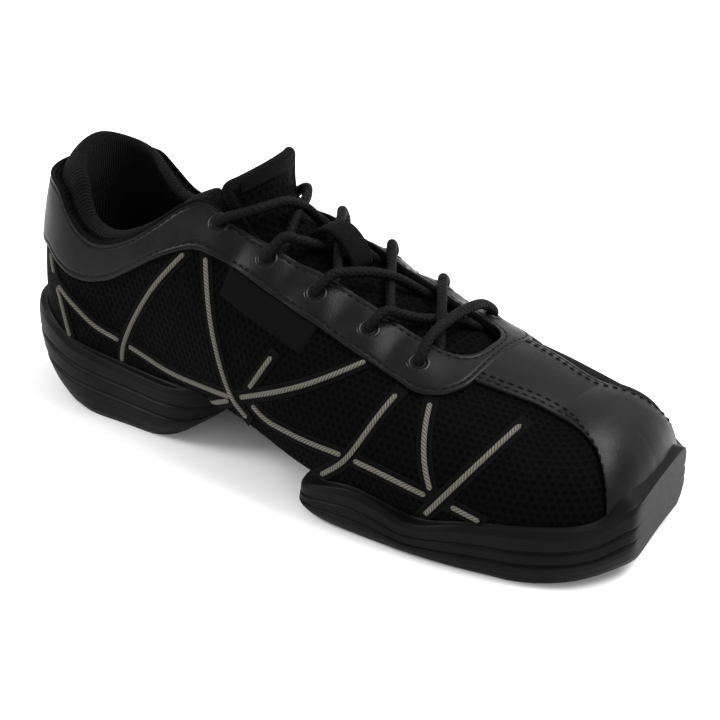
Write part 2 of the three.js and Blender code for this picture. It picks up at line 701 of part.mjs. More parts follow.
// Room for the upper in a sole unit, down to the raised floor that closes the upper's opening
function cavity(opening) {
  return lastSolid(CLEARANCE).subtract(openingCut(opening, CLEARANCE, 0));
}
function channel(x, halfWidth) {
  const [a, b] = [x - TREAD_WIDTH / 2, x + TREAD_WIDTH / 2];
  return planPrism([[a, -halfWidth], [b, -halfWidth], [b, halfWidth], [a, halfWidth]], -1, TREAD_DEPTH);
}
function disc(x, radius) {
  const outline = [...Array(16).keys()].map((i) => {
    const a = (2 * Math.PI * i) / 16;
    return [x + radius * Math.cos(a), radius * Math.sin(a)];
  });
  return planPrism(outline, -1, TREAD_DEPTH);
}
function heelUnit() {
  const treads = [REST_AT - 26, REST_AT - 9, REST_AT + 9].map((x) => channel(x, reach(0, LATERAL) - 2 * RIM));
  return ladder(HEEL_SIDE.map(heelRing)).subtract(cavity(SEAT_OPENING)).subtract(join(treads));
}
function forefootUnit() {
  const spot = alongX(0.895);
  const bars = [-38, -26, 26].map((dx) => channel(spot + dx, HALF_BALL - 4 * RIM));
  const ringCut = disc(spot, PIVOT_SPOT + TREAD_WIDTH).subtract(disc(spot, PIVOT_SPOT));
  const beyond = new THREE.BoxGeometry(BODY, 4 * HALF_BALL, 2 * HIGH);
  beyond.translate(BODY / 2, 0, 0).rotateZ(TOE_FACE_TURN).translate(TOE_FACE, 0, 0);
  return ladder(FOREFOOT_SIDE.map(forefootRing))
    .subtract(geometrySolid(beyond))
    .subtract(cavity(FOREPART_OPENING))
    .subtract(join([...bars, ringCut]));
}

// Insole: a sheet over the soles' floors and the closed arch, cut to the inside of the upper
function insole() {
  const steps = 12;
  const [from, to] = [SEAT_OPENING.from, FOREPART_OPENING.to];
  const floor = [...Array(steps + 1).keys()].map((i) => {
    const along = from + ((to - from) * i) / steps;
    return [alongX(along), foot(Math.min(Math.max(along, -1), 2)) + UPPER_WALL + 2 * CLEARANCE];
  });
  const top = floor.map(([x, z]) => [x, z + INSOLE_THICKNESS]).reverse();
  return lastSolid(-UPPER_WALL - CLEARANCE).intersect(sidePrism([...floor, ...top]));
}

// Padded lining: a roll along the topline with a flap down the inside
function collarLining() {
  const turns = [0.27, 0.22, 0.17, 0.11, 0.05, 0, -0.2, -0.4, -0.6, -0.8, -1];
  const gap = -UPPER_WALL - 2 * CLEARANCE;
  const section = (turn, side) => {
    const s = stand(turn, side);
    const wall = (z, inward) => {
      const p = wallPoint(turn, side, z, gap);
      return new THREE.Vector3(p.x - s.forward * inward, p.y - s.out * inward, z);
    };
    const x = wallPoint(turn, side, INSTEP * 0.8, 0).x;
    const top = INSTEP * tabled(TOPLINE, "along", "height", shareX(x));
    const back = Math.min(Math.max(-turn, 0), 1);
    const rise = ROLL_SIDE + (ROLL_PEAK - ROLL_SIDE) * back * back * (3 - 2 * back);
    const thick = ROLL_THICKNESS;
    return [
      wall(top - ROLL_DEPTH, 0),
      wall(top - 0.5 * ROLL_DEPTH, 0),
      wall(top - 1, 0),
      wall(top + 0.6 * rise, 0.1 * thick),
      wall(top + rise, 0.35 * thick),
      wall(top + rise, 0.65 * thick),
      wall(top + 0.6 * rise - 1, 0.95 * thick),
      wall(top - 0.2 * ROLL_DEPTH, thick),
      wall(top - 0.5 * ROLL_DEPTH, 0.6 * thick),
      wall(top - ROLL_DEPTH, 0.25 * thick),
    ];
  };
  const lateral = turns.map((turn) => section(turn, LATERAL));
  const medial = turns.slice(0, -1).map((turn) => section(turn, MEDIAL));
  return loft([...lateral, ...medial.reverse()]);
}

// Tongue: a curved pad from the foot of the throat to over the top eyelets. Lift is a share of what its
// top rises over the line of the last, tilt is how far its face leans forward, in degrees, half is a share
// of TONGUE_HALF, and flat is how much of the last's roundness it loses.
const TONGUE_PATH = [
  { along: 0.79, lift: 0, tilt: 8, half: 0.9, flat: 0 },
  { along: 0.72, lift: 0, tilt: 8, half: 1, flat: 0 },
  { along: 0.64, lift: 0, tilt: 8, half: 1, flat: 0 },
  { along: 0.56, lift: 0, tilt: 8, half: 1, flat: 0 },
  { along: 0.48, lift: 0, tilt: 10, half: 1, flat: 0 },
  { along: 0.42, lift: 0, tilt: 12, half: 0.9, flat: 0 },
  { along: 0.39, lift: 0.02, tilt: 24, half: 0.68, flat: 0 },
  { along: 0.37, lift: 0.12, tilt: 42, half: 0.66, flat: 0 },
  { along: 0.353, lift: 0.38, tilt: 56, half: 0.72, flat: 0.3 },
  { along: 0.342, lift: 0.7, tilt: 64, half: 0.82, flat: 0.5 },
  { along: 0.336, lift: 1, tilt: 68, half: 0.9, flat: 0.6 },
];
const tongueLevel = -UPPER_WALL - TONGUE_GAP;
// Point over the tongue: t from 0 at its foot to 1 at its top, out from its face. Across is a distance from
// the middle line, or a share of the tongue's own half width where half is left out.
function tonguePoint(t, across, out, half) {
  const last = TONGUE_PATH.length - 1;
  const row = Math.min(Math.floor(t * last), last - 1);
  const s = t * last - row;
  const [a, b] = [TONGUE_PATH[row], TONGUE_PATH[row + 1]];
  const tip = TONGUE_PATH[last];
  const rise = TONGUE_TOP - topHeight(alongX(tip.along), 0, tongueLevel);
  const mix = (column) => a[column] + (b[column] - a[column]) * s;
  const x = alongX(mix("along"));
  const tilt = (mix("tilt") * Math.PI) / 180;
  const y = across * (half || TONGUE_HALF * mix("half")) + TONGUE_SHIFT * mix("lift");
  const round = Math.max(x, alongX(0.36));
  const drop =
    (topHeight(round, 0, tongueLevel) - topHeight(round, Math.abs(y), tongueLevel)) * (1 - mix("flat"));
  const z = topHeight(x, 0, tongueLevel) + rise * mix("lift") + TONGUE_ROLL * y * mix("lift");
  const off = out - drop;
  return new THREE.Vector3(x + Math.sin(tilt) * off, y, z + Math.cos(tilt) * off);
}
// Sheet laid over the tongue between two places on its path
function tongueSheet(from, to, steps, half, cells, inner, outer, arch = 0) {
  const rings = [];
  for (let i = 0; i <= steps; i += 1) {
    const t = from + ((to - from) * i) / steps;
    const lift = arch * Math.sqrt(Math.sin((Math.PI * i) / steps));
    const line = (out) =>
      [...Array(cells + 1).keys()].map((k) => tonguePoint(t, (2 * k) / cells - 1, out + lift, half));
    rings.push([...line(inner), ...line(outer).reverse()]);
  }
  return sheet(rings);
}
const tongue = () => tongueSheet(0, 1, TONGUE_PATH.length - 1, 0, 8, -TONGUE_THICKNESS, 0);
function tongueLabel() {
  const [from, to] = [0.895, 0.985];
  const gap = 4 * CLEARANCE;
  return tongueSheet(from, to, 2, TONGUE_LABEL_HALF, 6, gap, gap + LABEL_THICKNESS);
}

// Eyelets and laces

// Place and outward direction on the band at an eyelet
const MEDIAL_SHARE = 0.97; // the medial eyelets sit a little nearer the middle line
function eyeletFrame(row, side) {
  const x = alongX(row.along);
  const y = side * HALF_BALL * row.away * (side < 0 ? 1 : MEDIAL_SHARE);
  const skin = CLEARANCE + BAND_THICKNESS;
  const at = (dx, dy) => new THREE.Vector3(x + dx, y + dy, topHeight(x + dx, y + dy, skin));
  const normal = new THREE.Vector3().crossVectors(at(1, 0).sub(at(-1, 0)), at(0, 1).sub(at(0, -1)));
  return { place: at(0, 0), normal: normal.normalize() };
}
function eyelet(row, side) {
  const { place, normal } = eyeletFrame(row, side);
  const [bore, outer] = [EYELET_BORE / 2, EYELET_OUTER / 2];
  const low = CLEARANCE + 0.35; // the leather curves away under the flange
  const profile = [
    [bore, low],
    [outer, low],
    [outer - 0.6, low + EYELET_HEIGHT],
    [bore, low + EYELET_HEIGHT],
    [bore, low],
  ].map(([r, h]) => new THREE.Vector2(r, h));
  const geometry = new THREE.LatheGeometry(profile, 8);
  const turned = new THREE.Quaternion().setFromUnitVectors(new THREE.Vector3(0, 1, 0), normal);
  geometry.applyQuaternion(turned).translate(place.x, place.y, place.z);
  return geometrySolid(geometry);
}
// Lace from the top of one eyelet over the throat. At its far end it goes down beside the throat's edge,
// to come up under the next eyelet, or runs over that eyelet too.
function strand(i, j, side, middleLift, onTop) {
  const skin = CLEARANCE + BAND_THICKNESS;
  const rim = EYELET_HEIGHT + LACE_DIAMETER / 2 + 4 * CLEARANCE;
  const away = (k, s) => s * HALF_BALL * EYELETS[k].away * (s < 0 ? 1 : MEDIAL_SHARE);
  const a = { x: alongX(EYELETS[i].along), y: away(i, side) };
  const b = { x: alongX(EYELETS[j].along), y: onTop ? away(j, -side) : -side * (THROAT_HALF - LACE_DIAMETER) };
  const under = -UPPER_WALL - TONGUE_GAP + LACE_DIAMETER / 2 + 2 * CLEARANCE;
  const rows = [
    { s: 0, lift: skin + rim },
    { s: 0.12, lift: skin + rim },
    { s: 0.28, lift: (skin + rim + middleLift) / 2 },
    { s: 0.5, lift: middleLift },
    { s: 0.75, lift: onTop ? (skin + rim + middleLift) / 2 : middleLift * 0.5 },
    { s: 0.88, lift: onTop ? skin + rim + 0.5 : under + 0.6 },
    { s: 1, lift: onTop ? skin + rim : under },
  ];
  const { bow } = EYELETS[i];
  const points = rows.map(({ s, lift }) => {
    const forward = s + bow * Math.sin(Math.PI * Math.sqrt(s));
    const [x, y] = [a.x + (b.x - a.x) * forward, a.y + (b.y - a.y) * s];
    const slope = (topHeight(x, y + 0.5, 0) - topHeight(x, y - 0.5, 0)) ** 2;
    return new THREE.Vector3(x, y, topHeight(x, y, 0) + lift * Math.sqrt(1 + slope));
  });
  return tube(points, LACE_DIAMETER, 9, 5);
}
const UNDER_LIFT = 0.2; // lace's middle over the last at the shoe's middle line
const OVER_LIFT = UNDER_LIFT + LACE_DIAMETER - CLEARANCE;
function laceCross(i) {
  const hump = EYELETS[i].hump * LACE_DIAMETER;
  const over = strand(i, i + 1, LATERAL, OVER_LIFT + hump, false);
  return over.add(strand(i, i + 1, MEDIAL, UNDER_LIFT + hump, false));
}
const laceBar = () => strand(EYELETS.length - 1, EYELETS.length - 1, LATERAL, OVER_LIFT, true);

function laceKeeper() {
  const half = KEEPER_LENGTH / 2;
  const last = TONGUE_PATH.length - 1;
  const placeOf = (x) => {
    let row = 0;
    while (alongX(TONGUE_PATH[row + 1].along) > x) row += 1;
    const [a, b] = [TONGUE_PATH[row], TONGUE_PATH[row + 1]].map((r) => alongX(r.along));
    return (row + (x - a) / (b - a)) / last;
  };
  const arch = UPPER_WALL + TONGUE_GAP + OVER_LIFT + LACE_DIAMETER / 2 + 4 * CLEARANCE;
  const [from, to] = [placeOf(KEEPER_AT + half), placeOf(KEEPER_AT - half)];
  return tongueSheet(from, to, 8, KEEPER_HALF, 2, 2 * CLEARANCE, 2 * CLEARANCE + KEEPER_THICKNESS, arch);
}

// Assembly

const BLACK_MESH = { color: 0x0b0b0d, roughness: 0.9, metalness: 0 };
const BLACK_LEATHER = { color: 0x111113, roughness: 0.42, metalness: 0 };
const BLACK_KNIT = { color: 0x0c0c0e, roughness: 0.95, metalness: 0 };
const BLACK_RUBBER = { color: 0x101012, roughness: 0.65, metalness: 0 };
const SILVER_CORD = { color: 0xa7a396, roughness: 0.6, metalness: 0.1 };
const BLACK_CORD = { color: 0x09090a, roughness: 0.85, metalness: 0 };
const BLACK_ENAMEL = { color: 0x0a0a0b, roughness: 0.3, metalness: 0.4 };
const BLACK_SATIN = { color: 0x0e0e10, roughness: 0.6, metalness: 0 };

const shoe = new THREE.Group();
shoe.position.x = -REST_AT;
function addPiece(name, solid, look) {
  const { vertProperties, triVerts } = solid.getMesh();
  const geometry = new THREE.BufferGeometry();
  geometry.setAttribute("position", new THREE.BufferAttribute(vertProperties, 3));
  geometry.setIndex(new THREE.BufferAttribute(triVerts, 1));
  const mesh = new THREE.Mesh(geometry, new THREE.MeshStandardMaterial(look));
  mesh.name = name;
  shoe.add(mesh);
}

addPiece("sole_heel", heelUnit(), BLACK_RUBBER);
addPiece("sole_forefoot", forefootUnit(), BLACK_RUBBER);
addPiece("insole", insole(), BLACK_KNIT);
addPiece("upper", upper(), BLACK_MESH);
addPiece("collar_band", collarBand(), BLACK_LEATHER);
addPiece("toe_leather", toeLeather(), BLACK_LEATHER);
addPiece("side_label", sideLabel(), BLACK_SATIN);
addPiece("collar_lining", collarLining(), BLACK_KNIT);
addPiece("tongue", tongue(), BLACK_MESH);
addPiece("tongue_label", tongueLabel(), BLACK_SATIN);
addPiece("lace_keeper", laceKeeper(), BLACK_SATIN);
addPiece("lace_bar", laceBar(), BLACK_CORD);
for (const [side, word] of [
  [LATERAL, "lateral"],
  [MEDIAL, "medial"],
]) {
  addPiece(`piping_${word}`, pipingNet(side), SILVER_CORD);
  EYELETS.forEach((row, i) => addPiece(`eyelet_${word}_${i + 1}`, eyelet(row, side), BLACK_ENAMEL));
}
for (let i = 0; i + 1 < EYELETS.length; i += 1) addPiece(`lace_cross_${i + 1}`, laceCross(i), BLACK_CORD);

export default shoe;
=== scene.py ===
"""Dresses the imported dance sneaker, a right shoe, for its final render.

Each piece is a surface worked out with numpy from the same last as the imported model. Sizes are in
millimetres, counted from the back of the last, and mesh_piece turns them into Blender's metres.
"""

import math

import bmesh
import bpy
import numpy as np
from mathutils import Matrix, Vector


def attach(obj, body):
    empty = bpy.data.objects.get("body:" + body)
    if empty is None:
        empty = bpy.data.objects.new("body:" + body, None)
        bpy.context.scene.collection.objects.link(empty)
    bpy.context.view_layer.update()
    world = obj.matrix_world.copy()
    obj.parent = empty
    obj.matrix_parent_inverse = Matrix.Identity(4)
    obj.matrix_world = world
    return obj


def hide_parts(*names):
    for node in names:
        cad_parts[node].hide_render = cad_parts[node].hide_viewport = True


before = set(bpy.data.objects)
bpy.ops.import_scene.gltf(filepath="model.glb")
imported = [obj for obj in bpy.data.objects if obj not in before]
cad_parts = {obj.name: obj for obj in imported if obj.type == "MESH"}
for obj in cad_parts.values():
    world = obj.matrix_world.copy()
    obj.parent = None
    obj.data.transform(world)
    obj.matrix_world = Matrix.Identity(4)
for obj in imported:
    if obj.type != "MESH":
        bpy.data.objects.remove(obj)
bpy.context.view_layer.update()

bl_info = {
    "name": "Dance sneaker",
    "version": (1, 0, 0),
    "blender": (4, 5, 0),
    "location": "View3D > Sidebar > Sneaker",
    "description": "Dresses a split-sole dance sneaker in mesh, leather, piping and laces",
    "category": "Object",
}

MM = 0.001
REST_AT = 47.0  # the row's origin, from the back of the last
LATERAL = -1
MEDIAL = 1
SIDES = (LATERAL, MEDIAL)

# The last
HEEL_AXIS = 35.0
BODY = 190.0
HALF_BALL = 50.0
INSTEP = 95.0
FULLEST = 38.0
SEAT = 15.0
UPPER_WALL = 2.2
CLEARANCE = 0.3
BAND_THICKNESS = 1.2
TOE_THICKNESS = 1.0
THROAT_HALF = 15.0
THROAT_FRONT = 191.0
THROAT_ROUND = 18.0

# Turn is -1 at the heel's back, 0 at the heel's axis, 1 at the toe's axis and 2 at the toe's tip. Reaches are
# shares of HALF_BALL.
REACH = {
    "turn": (-1, -0.5, 0, 0.13, 0.29, 0.43, 0.605, 0.79, 0.895, 1, 1.167, 1.333, 1.5, 1.667, 1.833, 2),
    "lateral": (
        0.72, 0.73, 0.68, 0.68, 0.77, 0.89, 0.98, 1.01,
        0.99, 0.93, 0.876, 0.832, 0.752, 0.664, 0.6, 0.57,
    ),
    "medial": (
        0.72, 0.73, 0.66, 0.64, 0.68, 0.8, 0.9, 0.94,
        0.92, 0.88, 0.85, 0.77, 0.685, 0.61, 0.575, 0.57,
    ),
}
SECTION = {
    "turn": (-1, 0, 0.13, 0.29, 0.43, 0.605, 0.79, 1, 2),
    "fullest": (1, 1, 0.95, 0.82, 0.71, 0.61, 0.55, 0.53, 0.53),
    "foot": (1, 1, 1.07, 1.47, 1.6, 0.77, 0.6, 0.6, 0.6),
}
RIDGE = {
    "along": (0, 0.13, 0.21, 0.305, 0.42, 0.525, 0.637, 0.737, 0.816, 0.895, 0.958, 1),
    "height": (1.316, 1.2, 1.116, 0.99, 0.885, 0.79, 0.695, 0.616, 0.568, 0.532, 0.497, 0.47),
}
# Lines seen from the side, as shares of BODY and INSTEP
TOPLINE = {
    "along": (-0.3, -0.12, -0.06, -0.033, 0, 0.034, 0.071, 0.111, 0.147, 0.198, 0.225, 0.258, 0.29, 0.312),
    "height": (0.93, 0.93, 0.905, 0.84, 0.775, 0.745, 0.747, 0.774, 0.812, 0.882, 0.924, 0.95, 0.945, 0.925),
}
BAND_EDGE = {
    "along": (
        -0.3, -0.093, -0.063, -0.026, 0.005, 0.036, 0.083, 0.137, 0.192, 0.245, 0.281, 0.332, 0.406, 0.482,
        0.558, 0.623, 0.681, 0.74, 0.775, 0.812, 0.836, 0.849, 0.853,
    ),
    "height": (
        0.675, 0.661, 0.624, 0.59, 0.578, 0.582, 0.61, 0.67, 0.734, 0.781, 0.797, 0.78, 0.743, 0.69,
        0.642, 0.598, 0.56, 0.523, 0.503, 0.5, 0.511, 0.53, 0.57,
    ),
}
THROAT = {"along": (0.2, 0.4, 0.46, 0.52, 0.6, 0.83), "half": (1.2, 1.25, 1.2, 1.08, 1, 1)}
TOE_SEAM = {
    "along": (0.82, 0.866, 0.913, 0.959, 1.015, 1.063, 1.097, 1.114, 1.131, 1.16),
    "half": (0.39, 0.38, 0.35, 0.31, 0.31, 0.37, 0.435, 0.51, 0.61, 0.85),
}
HEEL_RIM_LINE = {
    "along": (-0.21, -0.12, -0.03, 0.03, 0.096, 0.2, 0.27, 0.34),
    "height": (1, 0.9, 0.73, 0.67, 0.625, 0.6, 0.62, 0.66),
}
FOREFOOT_RIM_LINE = {
    "along": (0.58, 0.642, 0.705, 0.763, 0.81, 0.843, 0.923, 1.015, 1.095, 1.135, 1.165, 1.2),
    "height": (0.39, 0.52, 0.6, 0.55, 0.44, 0.45, 0.6, 0.7, 0.74, 0.8, 0.94, 1),
}

# Eyelets from the collar to the toe: along as before, away from the middle line as a share of HALF_BALL
EYELETS = {"along": (0.309, 0.424, 0.534, 0.648, 0.753), "away": (0.44, 0.475, 0.485, 0.49, 0.5)}
MEDIAL_SHARE = 0.97

HEEL_RIM = 39.0
FOREFOOT_RIM = 27.0
FRONT_PART = 0.6  # turn where the eyestay's front begins
EYESTAY_END = 0.853  # along, where the eyestay's edge reaches the ridge
TOE_REAR = 0.845  # along, where the toe strip begins on the ridge
TOPLINE_END = 0.305  # along, where the topline ends
THROAT_REAR = 0.22  # along, where the throat's edge begins
TOE_SMOOTHING = 24  # rounds of averaging along the toe strip
TOE_STITCHED = 96  # columns of the toe strip's seam that are stitched, down to the sole

# Sides of the sole units from the ground up. Level is a share of the rim's height and out is bulge as a share
# of RIM; scoop and undercut are shares of HEEL_SCOOP and HEEL_UNDERCUT.
RIM = 2.7
HEEL_BACK = -4.5
HEEL_FRONT = 99.0
HEEL_SCOOP = 20.0
HEEL_UNDERCUT = 22.0
FOREFOOT_REAR = 146.0
REAR_ROUND = 26.0
REAR_SLANT = 0.11
TOE_FACE = 256.0
TOE_FACE_TURN = 0.088
TOE_SPRING = 5.0
TREAD_DEPTH = 1.5
TREAD_WIDTH = 3.0
PIVOT_SPOT = 15.0
SPOT_AT = 0.895  # along, the middle of the spin spot
HEEL_CHANNELS = (-26, -9, 9)  # from the middle of the heel's ground face
FOREFOOT_CHANNELS = (-38, -26, 26)  # from the spin spot
HEEL_POWERS = (2.75, 5.0)  # superellipse of the heel unit behind its middle and in front
HEEL_SIDE = {
    "level": (0, 0.09, 0.26, 0.43, 0.47, 0.51, 0.68, 0.72, 0.76, 0.93, 1),
    "out": (-0.9, -0.35, 0.05, 0.2, -0.25, 0.2, 0.2, -0.2, 0.15, 0.05, -0.3),
    "scoop": (1, 0.7, 0.36, 0.14, 0.12, 0.09, 0.01, 0.01, 0, 0, 0.02),
    "undercut": (1, 0.88, 0.6, 0.38, 0.35, 0.32, 0.18, 0.15, 0.12, 0.02, 0),
}
FOREFOOT_SIDE = {
    "level": (0, 0.1, 0.25, 0.36, 0.4, 0.44, 0.6, 0.64, 0.68, 0.9, 1),
    "out": (-0.9, -0.3, 0.1, 0.2, -0.2, 0.15, 0.08, -0.25, 0.04, 0, -0.3),
}
TOE_PLATFORM = {"turn": (1, 1.333, 1.5, 1.667, 2), "extra": (0, 0.2, 0.8, 1.9, 2.4)}

HEEL_ARC = 57.0  # length of the upper's wall over one turn of the heel
TOE_ARC = 60.0  # and over one turn of the toe
WAIST = (103.0, 140.0)  # the upper's wall shows down to its foot between these places
WAIST_MIDDLE = 125.0
MEDIAL_PIPING_END = 0.93  # turn, past which the inner side has no piping

# Piping, as turns and heights as shares of INSTEP
PIPING = (
    ((-0.36, -0.29, -0.25), (0.7, 0.59, 0.54)),
    ((-0.25, -0.2, -0.1), (0.54, 0.47, 0.26)),
    ((-0.25, -0.064, 0.035, 0.11), (0.54, 0.466, 0.4, 0.36)),
    ((0.265, 0.18, 0.11, 0.096), (0.8, 0.595, 0.36, 0.25)),
    ((0.11, 0.243, 0.388, 0.43), (0.36, 0.317, 0.334, 0.345)),
    ((0.297, 0.359, 0.422, 0.455, 0.473), (0.81, 0.537, 0.341, 0.296, 0.274)),
    ((0.325, 0.372, 0.425), (0.255, 0.286, 0.335)),
    ((0.43, 0.578, 0.68), (0.345, 0.47, 0.575)),
    ((0.456, 0.474, 0.507), (0.38, 0.435, 0.55)),
    ((0.462, 0.481, 0.513, 0.552, 0.601, 0.695), (0.362, 0.337, 0.311, 0.301, 0.293, 0.288)),
    ((0.75, 0.695, 0.63), (0.51, 0.288, 0.17)),
    ((0.695, 0.77, 0.868), (0.288, 0.27, 0.24)),
    ((0.802, 0.835, 0.868), (0.5, 0.36, 0.24)),
    ((0.96, 0.935, 0.91, 0.872, 0.845), (0.463, 0.389, 0.319, 0.219, 0.15)),
    ((0.887, 0.915, 0.965), (0.234, 0.222, 0.19)),
)
# Side patch: along of the ends of its top edge, and along and height of the ends of its lower edge
PATCH_TOP = (0.36, 0.566)
PATCH_LOW = ((0.355, 0.676), (0.554, 0.556))
PATCH_LAYOUT = (40.0, 6.0)  # lengths on which its weave and its rounded edge are laid out
PATCH_THICKNESS = 0.9
TAPE_EDGE = 0.18  # share of half the tape's width over which its edge is rounded

# Tongue from its foot to its top: lift is a share of its rise over the last, tilt is in degrees
TONGUE = {
    "row": (0, 1, 2, 3, 4, 5, 6, 7, 8, 9, 10),
    "along": (0.84, 0.72, 0.64, 0.56, 0.48, 0.42, 0.39, 0.37, 0.353, 0.342, 0.336),
    "lift": (0, 0, 0, 0, 0, 0, 0.02, 0.12, 0.38, 0.7, 1),
    "tilt": (8, 8, 8, 8, 10, 12, 24, 42, 56, 64, 68),
    "half": (0.9, 1, 1, 1, 1, 0.9, 0.68, 0.66, 0.72, 0.82, 0.9),
    "flat": (0, 0, 0, 0, 0, 0, 0, 0, 0.3, 0.5, 0.6),
}
TONGUE_THICKNESS = 3.6
TONGUE_HALF = 23.0
TONGUE_GAP = 0.8
TONGUE_TOP = 101.0
TONGUE_ROLL = 0.1
TONGUE_SHIFT = 2.5
TONGUE_PATCH_HALF = 16.0
TONGUE_ARCHED = 0.36  # along, behind which the tongue keeps the arch it has there
TONGUE_BINDING = 4.3
TOPLINE_BINDING = 1.7
TONGUE_PATCH = (0.895, 0.985)  # from the tongue's foot at 0 to its top at 1
TONGUE_BOUND = (0.35, 0.985)
LINING_FRONT = 0.272  # turn where the lining ends
BINDING_FRONT = 0.36  # turn where the topline's binding ends
KEEPER_AT = 130.0
KEEPER_LENGTH = 19.0
KEEPER_HALF = 5.5
KEEPER_THICKNESS = 1.2
ROLL_THICKNESS = 8.0
ROLL_DEPTH = 38.0
ROLL_PEAK = 11.0
ROLL_SIDE = 2.6
INSOLE_THICKNESS = 3.0
EYELET_OUTER = 8.4
EYELET_BORE = 4.6
EYELET_HEIGHT = 1.2
# For each crossing of the lace from the collar down: its bow forward as a share of the step to the
# next eyelet, and its hump in lace diameters
BOW = (0.34, 0, 0, 0)
HUMP = (0.5, 0, 0, 0)

# Folds of the eyestay: it sinks round each eyelet and swells between them
FOLD_SINK = 0.7
FOLD_SINK_WIDE = 6.5
FOLD_SWELL = 0.9
FOLD_SWELL_WIDE = 5.0

# Edge of an overlay: distance in from the edge, and share of its thickness there
EDGE_INSET = (0.0, 0.0, 0.12, 0.4, 0.9, 1.6, 2.1, 2.6, 3.3, 3.8, 4.3, 4.8)
EDGE_RISE = (0.0, 0.5, 0.82, 0.96, 1.0, 1.0, 0.72, 1.0, 1.0, 1.0, 1.0, 1.0)
STITCH_ROW = 6


def tabled(table, column, at):
    """Cubic through a table: each inner tangent is the slope between the two neighbours."""
    keys = np.array(next(iter(table.values())), float)
    values = np.array(table[column], float)
    tangent = np.empty_like(values)
    tangent[1:-1] = (values[2:] - values[:-2]) / (keys[2:] - keys[:-2])
    tangent[0] = (values[1] - values[0]) / (keys[1] - keys[0])
    tangent[-1] = (values[-1] - values[-2]) / (keys[-1] - keys[-2])
    t = np.clip(at, keys[0], keys[-1])
    i = np.clip(np.searchsorted(keys, t) - 1, 0, len(keys) - 2)
    span = keys[i + 1] - keys[i]
    s = (t - keys[i]) / span
    rise = s * s * (3 - 2 * s)
    bend = span * s * (1 - s) * ((1 - s) * tangent[i] - s * tangent[i + 1])
    return values[i] * (1 - rise) + values[i + 1] * rise + bend


def along_x(along):
    return HEEL_AXIS + along * BODY


def share_x(x):
    return (x - HEEL_AXIS) / BODY


def reach(turn, side):
    lateral = tabled(REACH, "lateral", turn)
    medial = tabled(REACH, "medial", turn)
    return HALF_BALL * np.where(side < 0, lateral, medial)


def fullest(turn):
    return FULLEST * tabled(SECTION, "fullest", turn)


def foot(turn):
    return SEAT * tabled(SECTION, "foot", turn)


def ridge(turn):
    return INSTEP * tabled(RIDGE, "height", turn)


def stand(turn, side):
    """Spine position and level direction of a section: it fans about upright axes in the heel and the toe."""
    turn = np.asarray(turn, float)
    angle = np.where(turn < 0, turn, np.where(turn > 1, turn - 1, 0)) * math.pi / 2
    return along_x(np.clip(turn, 0, 1)), np.sin(angle), side * np.cos(angle)


def last_point(turn, side, lift, grow=0.0):
    """Point of the last moved out by grow.

    The level distance from the spine is the reach times the lift's cosine, and the height rises from the
    fullest point to the ridge with its sine. Below the fullest point both are square rooted.
    """
    turn, side, lift, grow = np.broadcast_arrays(turn, side, lift, grow)
    x, forward, out = stand(turn, side)
    r = reach(turn, side) + grow
    low, mid, high = foot(turn) - grow, fullest(turn), ridge(turn) + grow
    c = np.clip(np.cos(lift), 0, 1)
    v = np.clip(np.abs(np.sin(lift)), 0, 1)
    away = np.where(lift > 0, r * c, r * np.sqrt(c))
    z = np.where(lift > 0, mid + (high - mid) * v, mid - (mid - low) * np.sqrt(v))
    return np.stack([x + forward * away, out * away, z], -1)


def lift_at(turn, z, grow=0.0):
    """Lift of the last's wall at a height, the wall moved out by grow."""
    low, mid, high = foot(turn) - grow, fullest(turn), ridge(turn) + grow
    above = np.arcsin(np.clip((z - mid) / (high - mid), 0, 1))
    below = -np.arcsin(np.clip((mid - z) / (mid - low), 0, 1) ** 2)
    return np.where(z > mid, above, below)


def lift_on_line(turn, side, table):
    """Lift where the wall meets a line seen from the side, found by stepping to the line's height."""
    lift = np.zeros(np.broadcast(turn, side).shape)
    for _ in range(12):
        x = last_point(turn, side, lift)[..., 0]
        lift = 0.5 * lift + 0.5 * lift_at(turn, INSTEP * tabled(table, "height", share_x(x)))
    return lift


def throat_half(x):
    """Half width of the throat: the table's width, closed at the foot by a cubic superellipse."""
    wide = THROAT_HALF * tabled(THROAT, "half", share_x(x))
    s = np.clip((x - THROAT_FRONT + THROAT_ROUND) / THROAT_ROUND, 0, 1)
    return wide * np.cbrt(1 - s**3)


def top_lift(turn, side):
    """Lift of the upper's top edge: the topline, then the throat's edge, then the ridge in front of it."""
    x = along_x(np.clip(turn, 0, 1))
    topline = np.where(x < along_x(TOPLINE_END), lift_on_line(turn, side, TOPLINE), math.pi / 2)
    throat = np.arccos(np.clip(throat_half(x) / reach(turn, side), 0, 1))
    throat = np.where((x > along_x(THROAT_REAR)) & (x < THROAT_FRONT), throat, math.pi / 2)
    blend = 0.06
    h = np.clip(0.5 + (throat - topline) / (2 * blend), 0, 1)
    smooth = throat * (1 - h) + topline * h - blend * h * (1 - h)
    return np.where(x < THROAT_FRONT, smooth, math.pi / 2)


def top_height(x, y, grow=0.0):
    """Height of the last's top at a place seen from above."""
    turn = share_x(x)
    r = reach(turn, np.sign(y)) + grow
    mid = fullest(turn)
    return mid + (ridge(turn) + grow - mid) * np.sqrt(np.clip(1 - (y / r) ** 2, 0, 1))


def normals_of(points):
    """Unit normals of a grid of points from the cross product of its two steps."""
    across = np.gradient(points, axis=0)
    along = np.gradient(points, axis=1)
    n = np.cross(across, along)
    return n / np.maximum(np.linalg.norm(n, axis=-1, keepdims=True), 1e-9)


def run_length(points, axis=0):
    """Length run along a row of points, or along one direction of a grid of them."""
    steps = np.linalg.norm(np.diff(points, axis=axis), axis=-1)
    start = np.zeros_like(steps.take([0], axis))
    return np.concatenate([start, np.cumsum(steps, axis)], axis)


# Mesh making


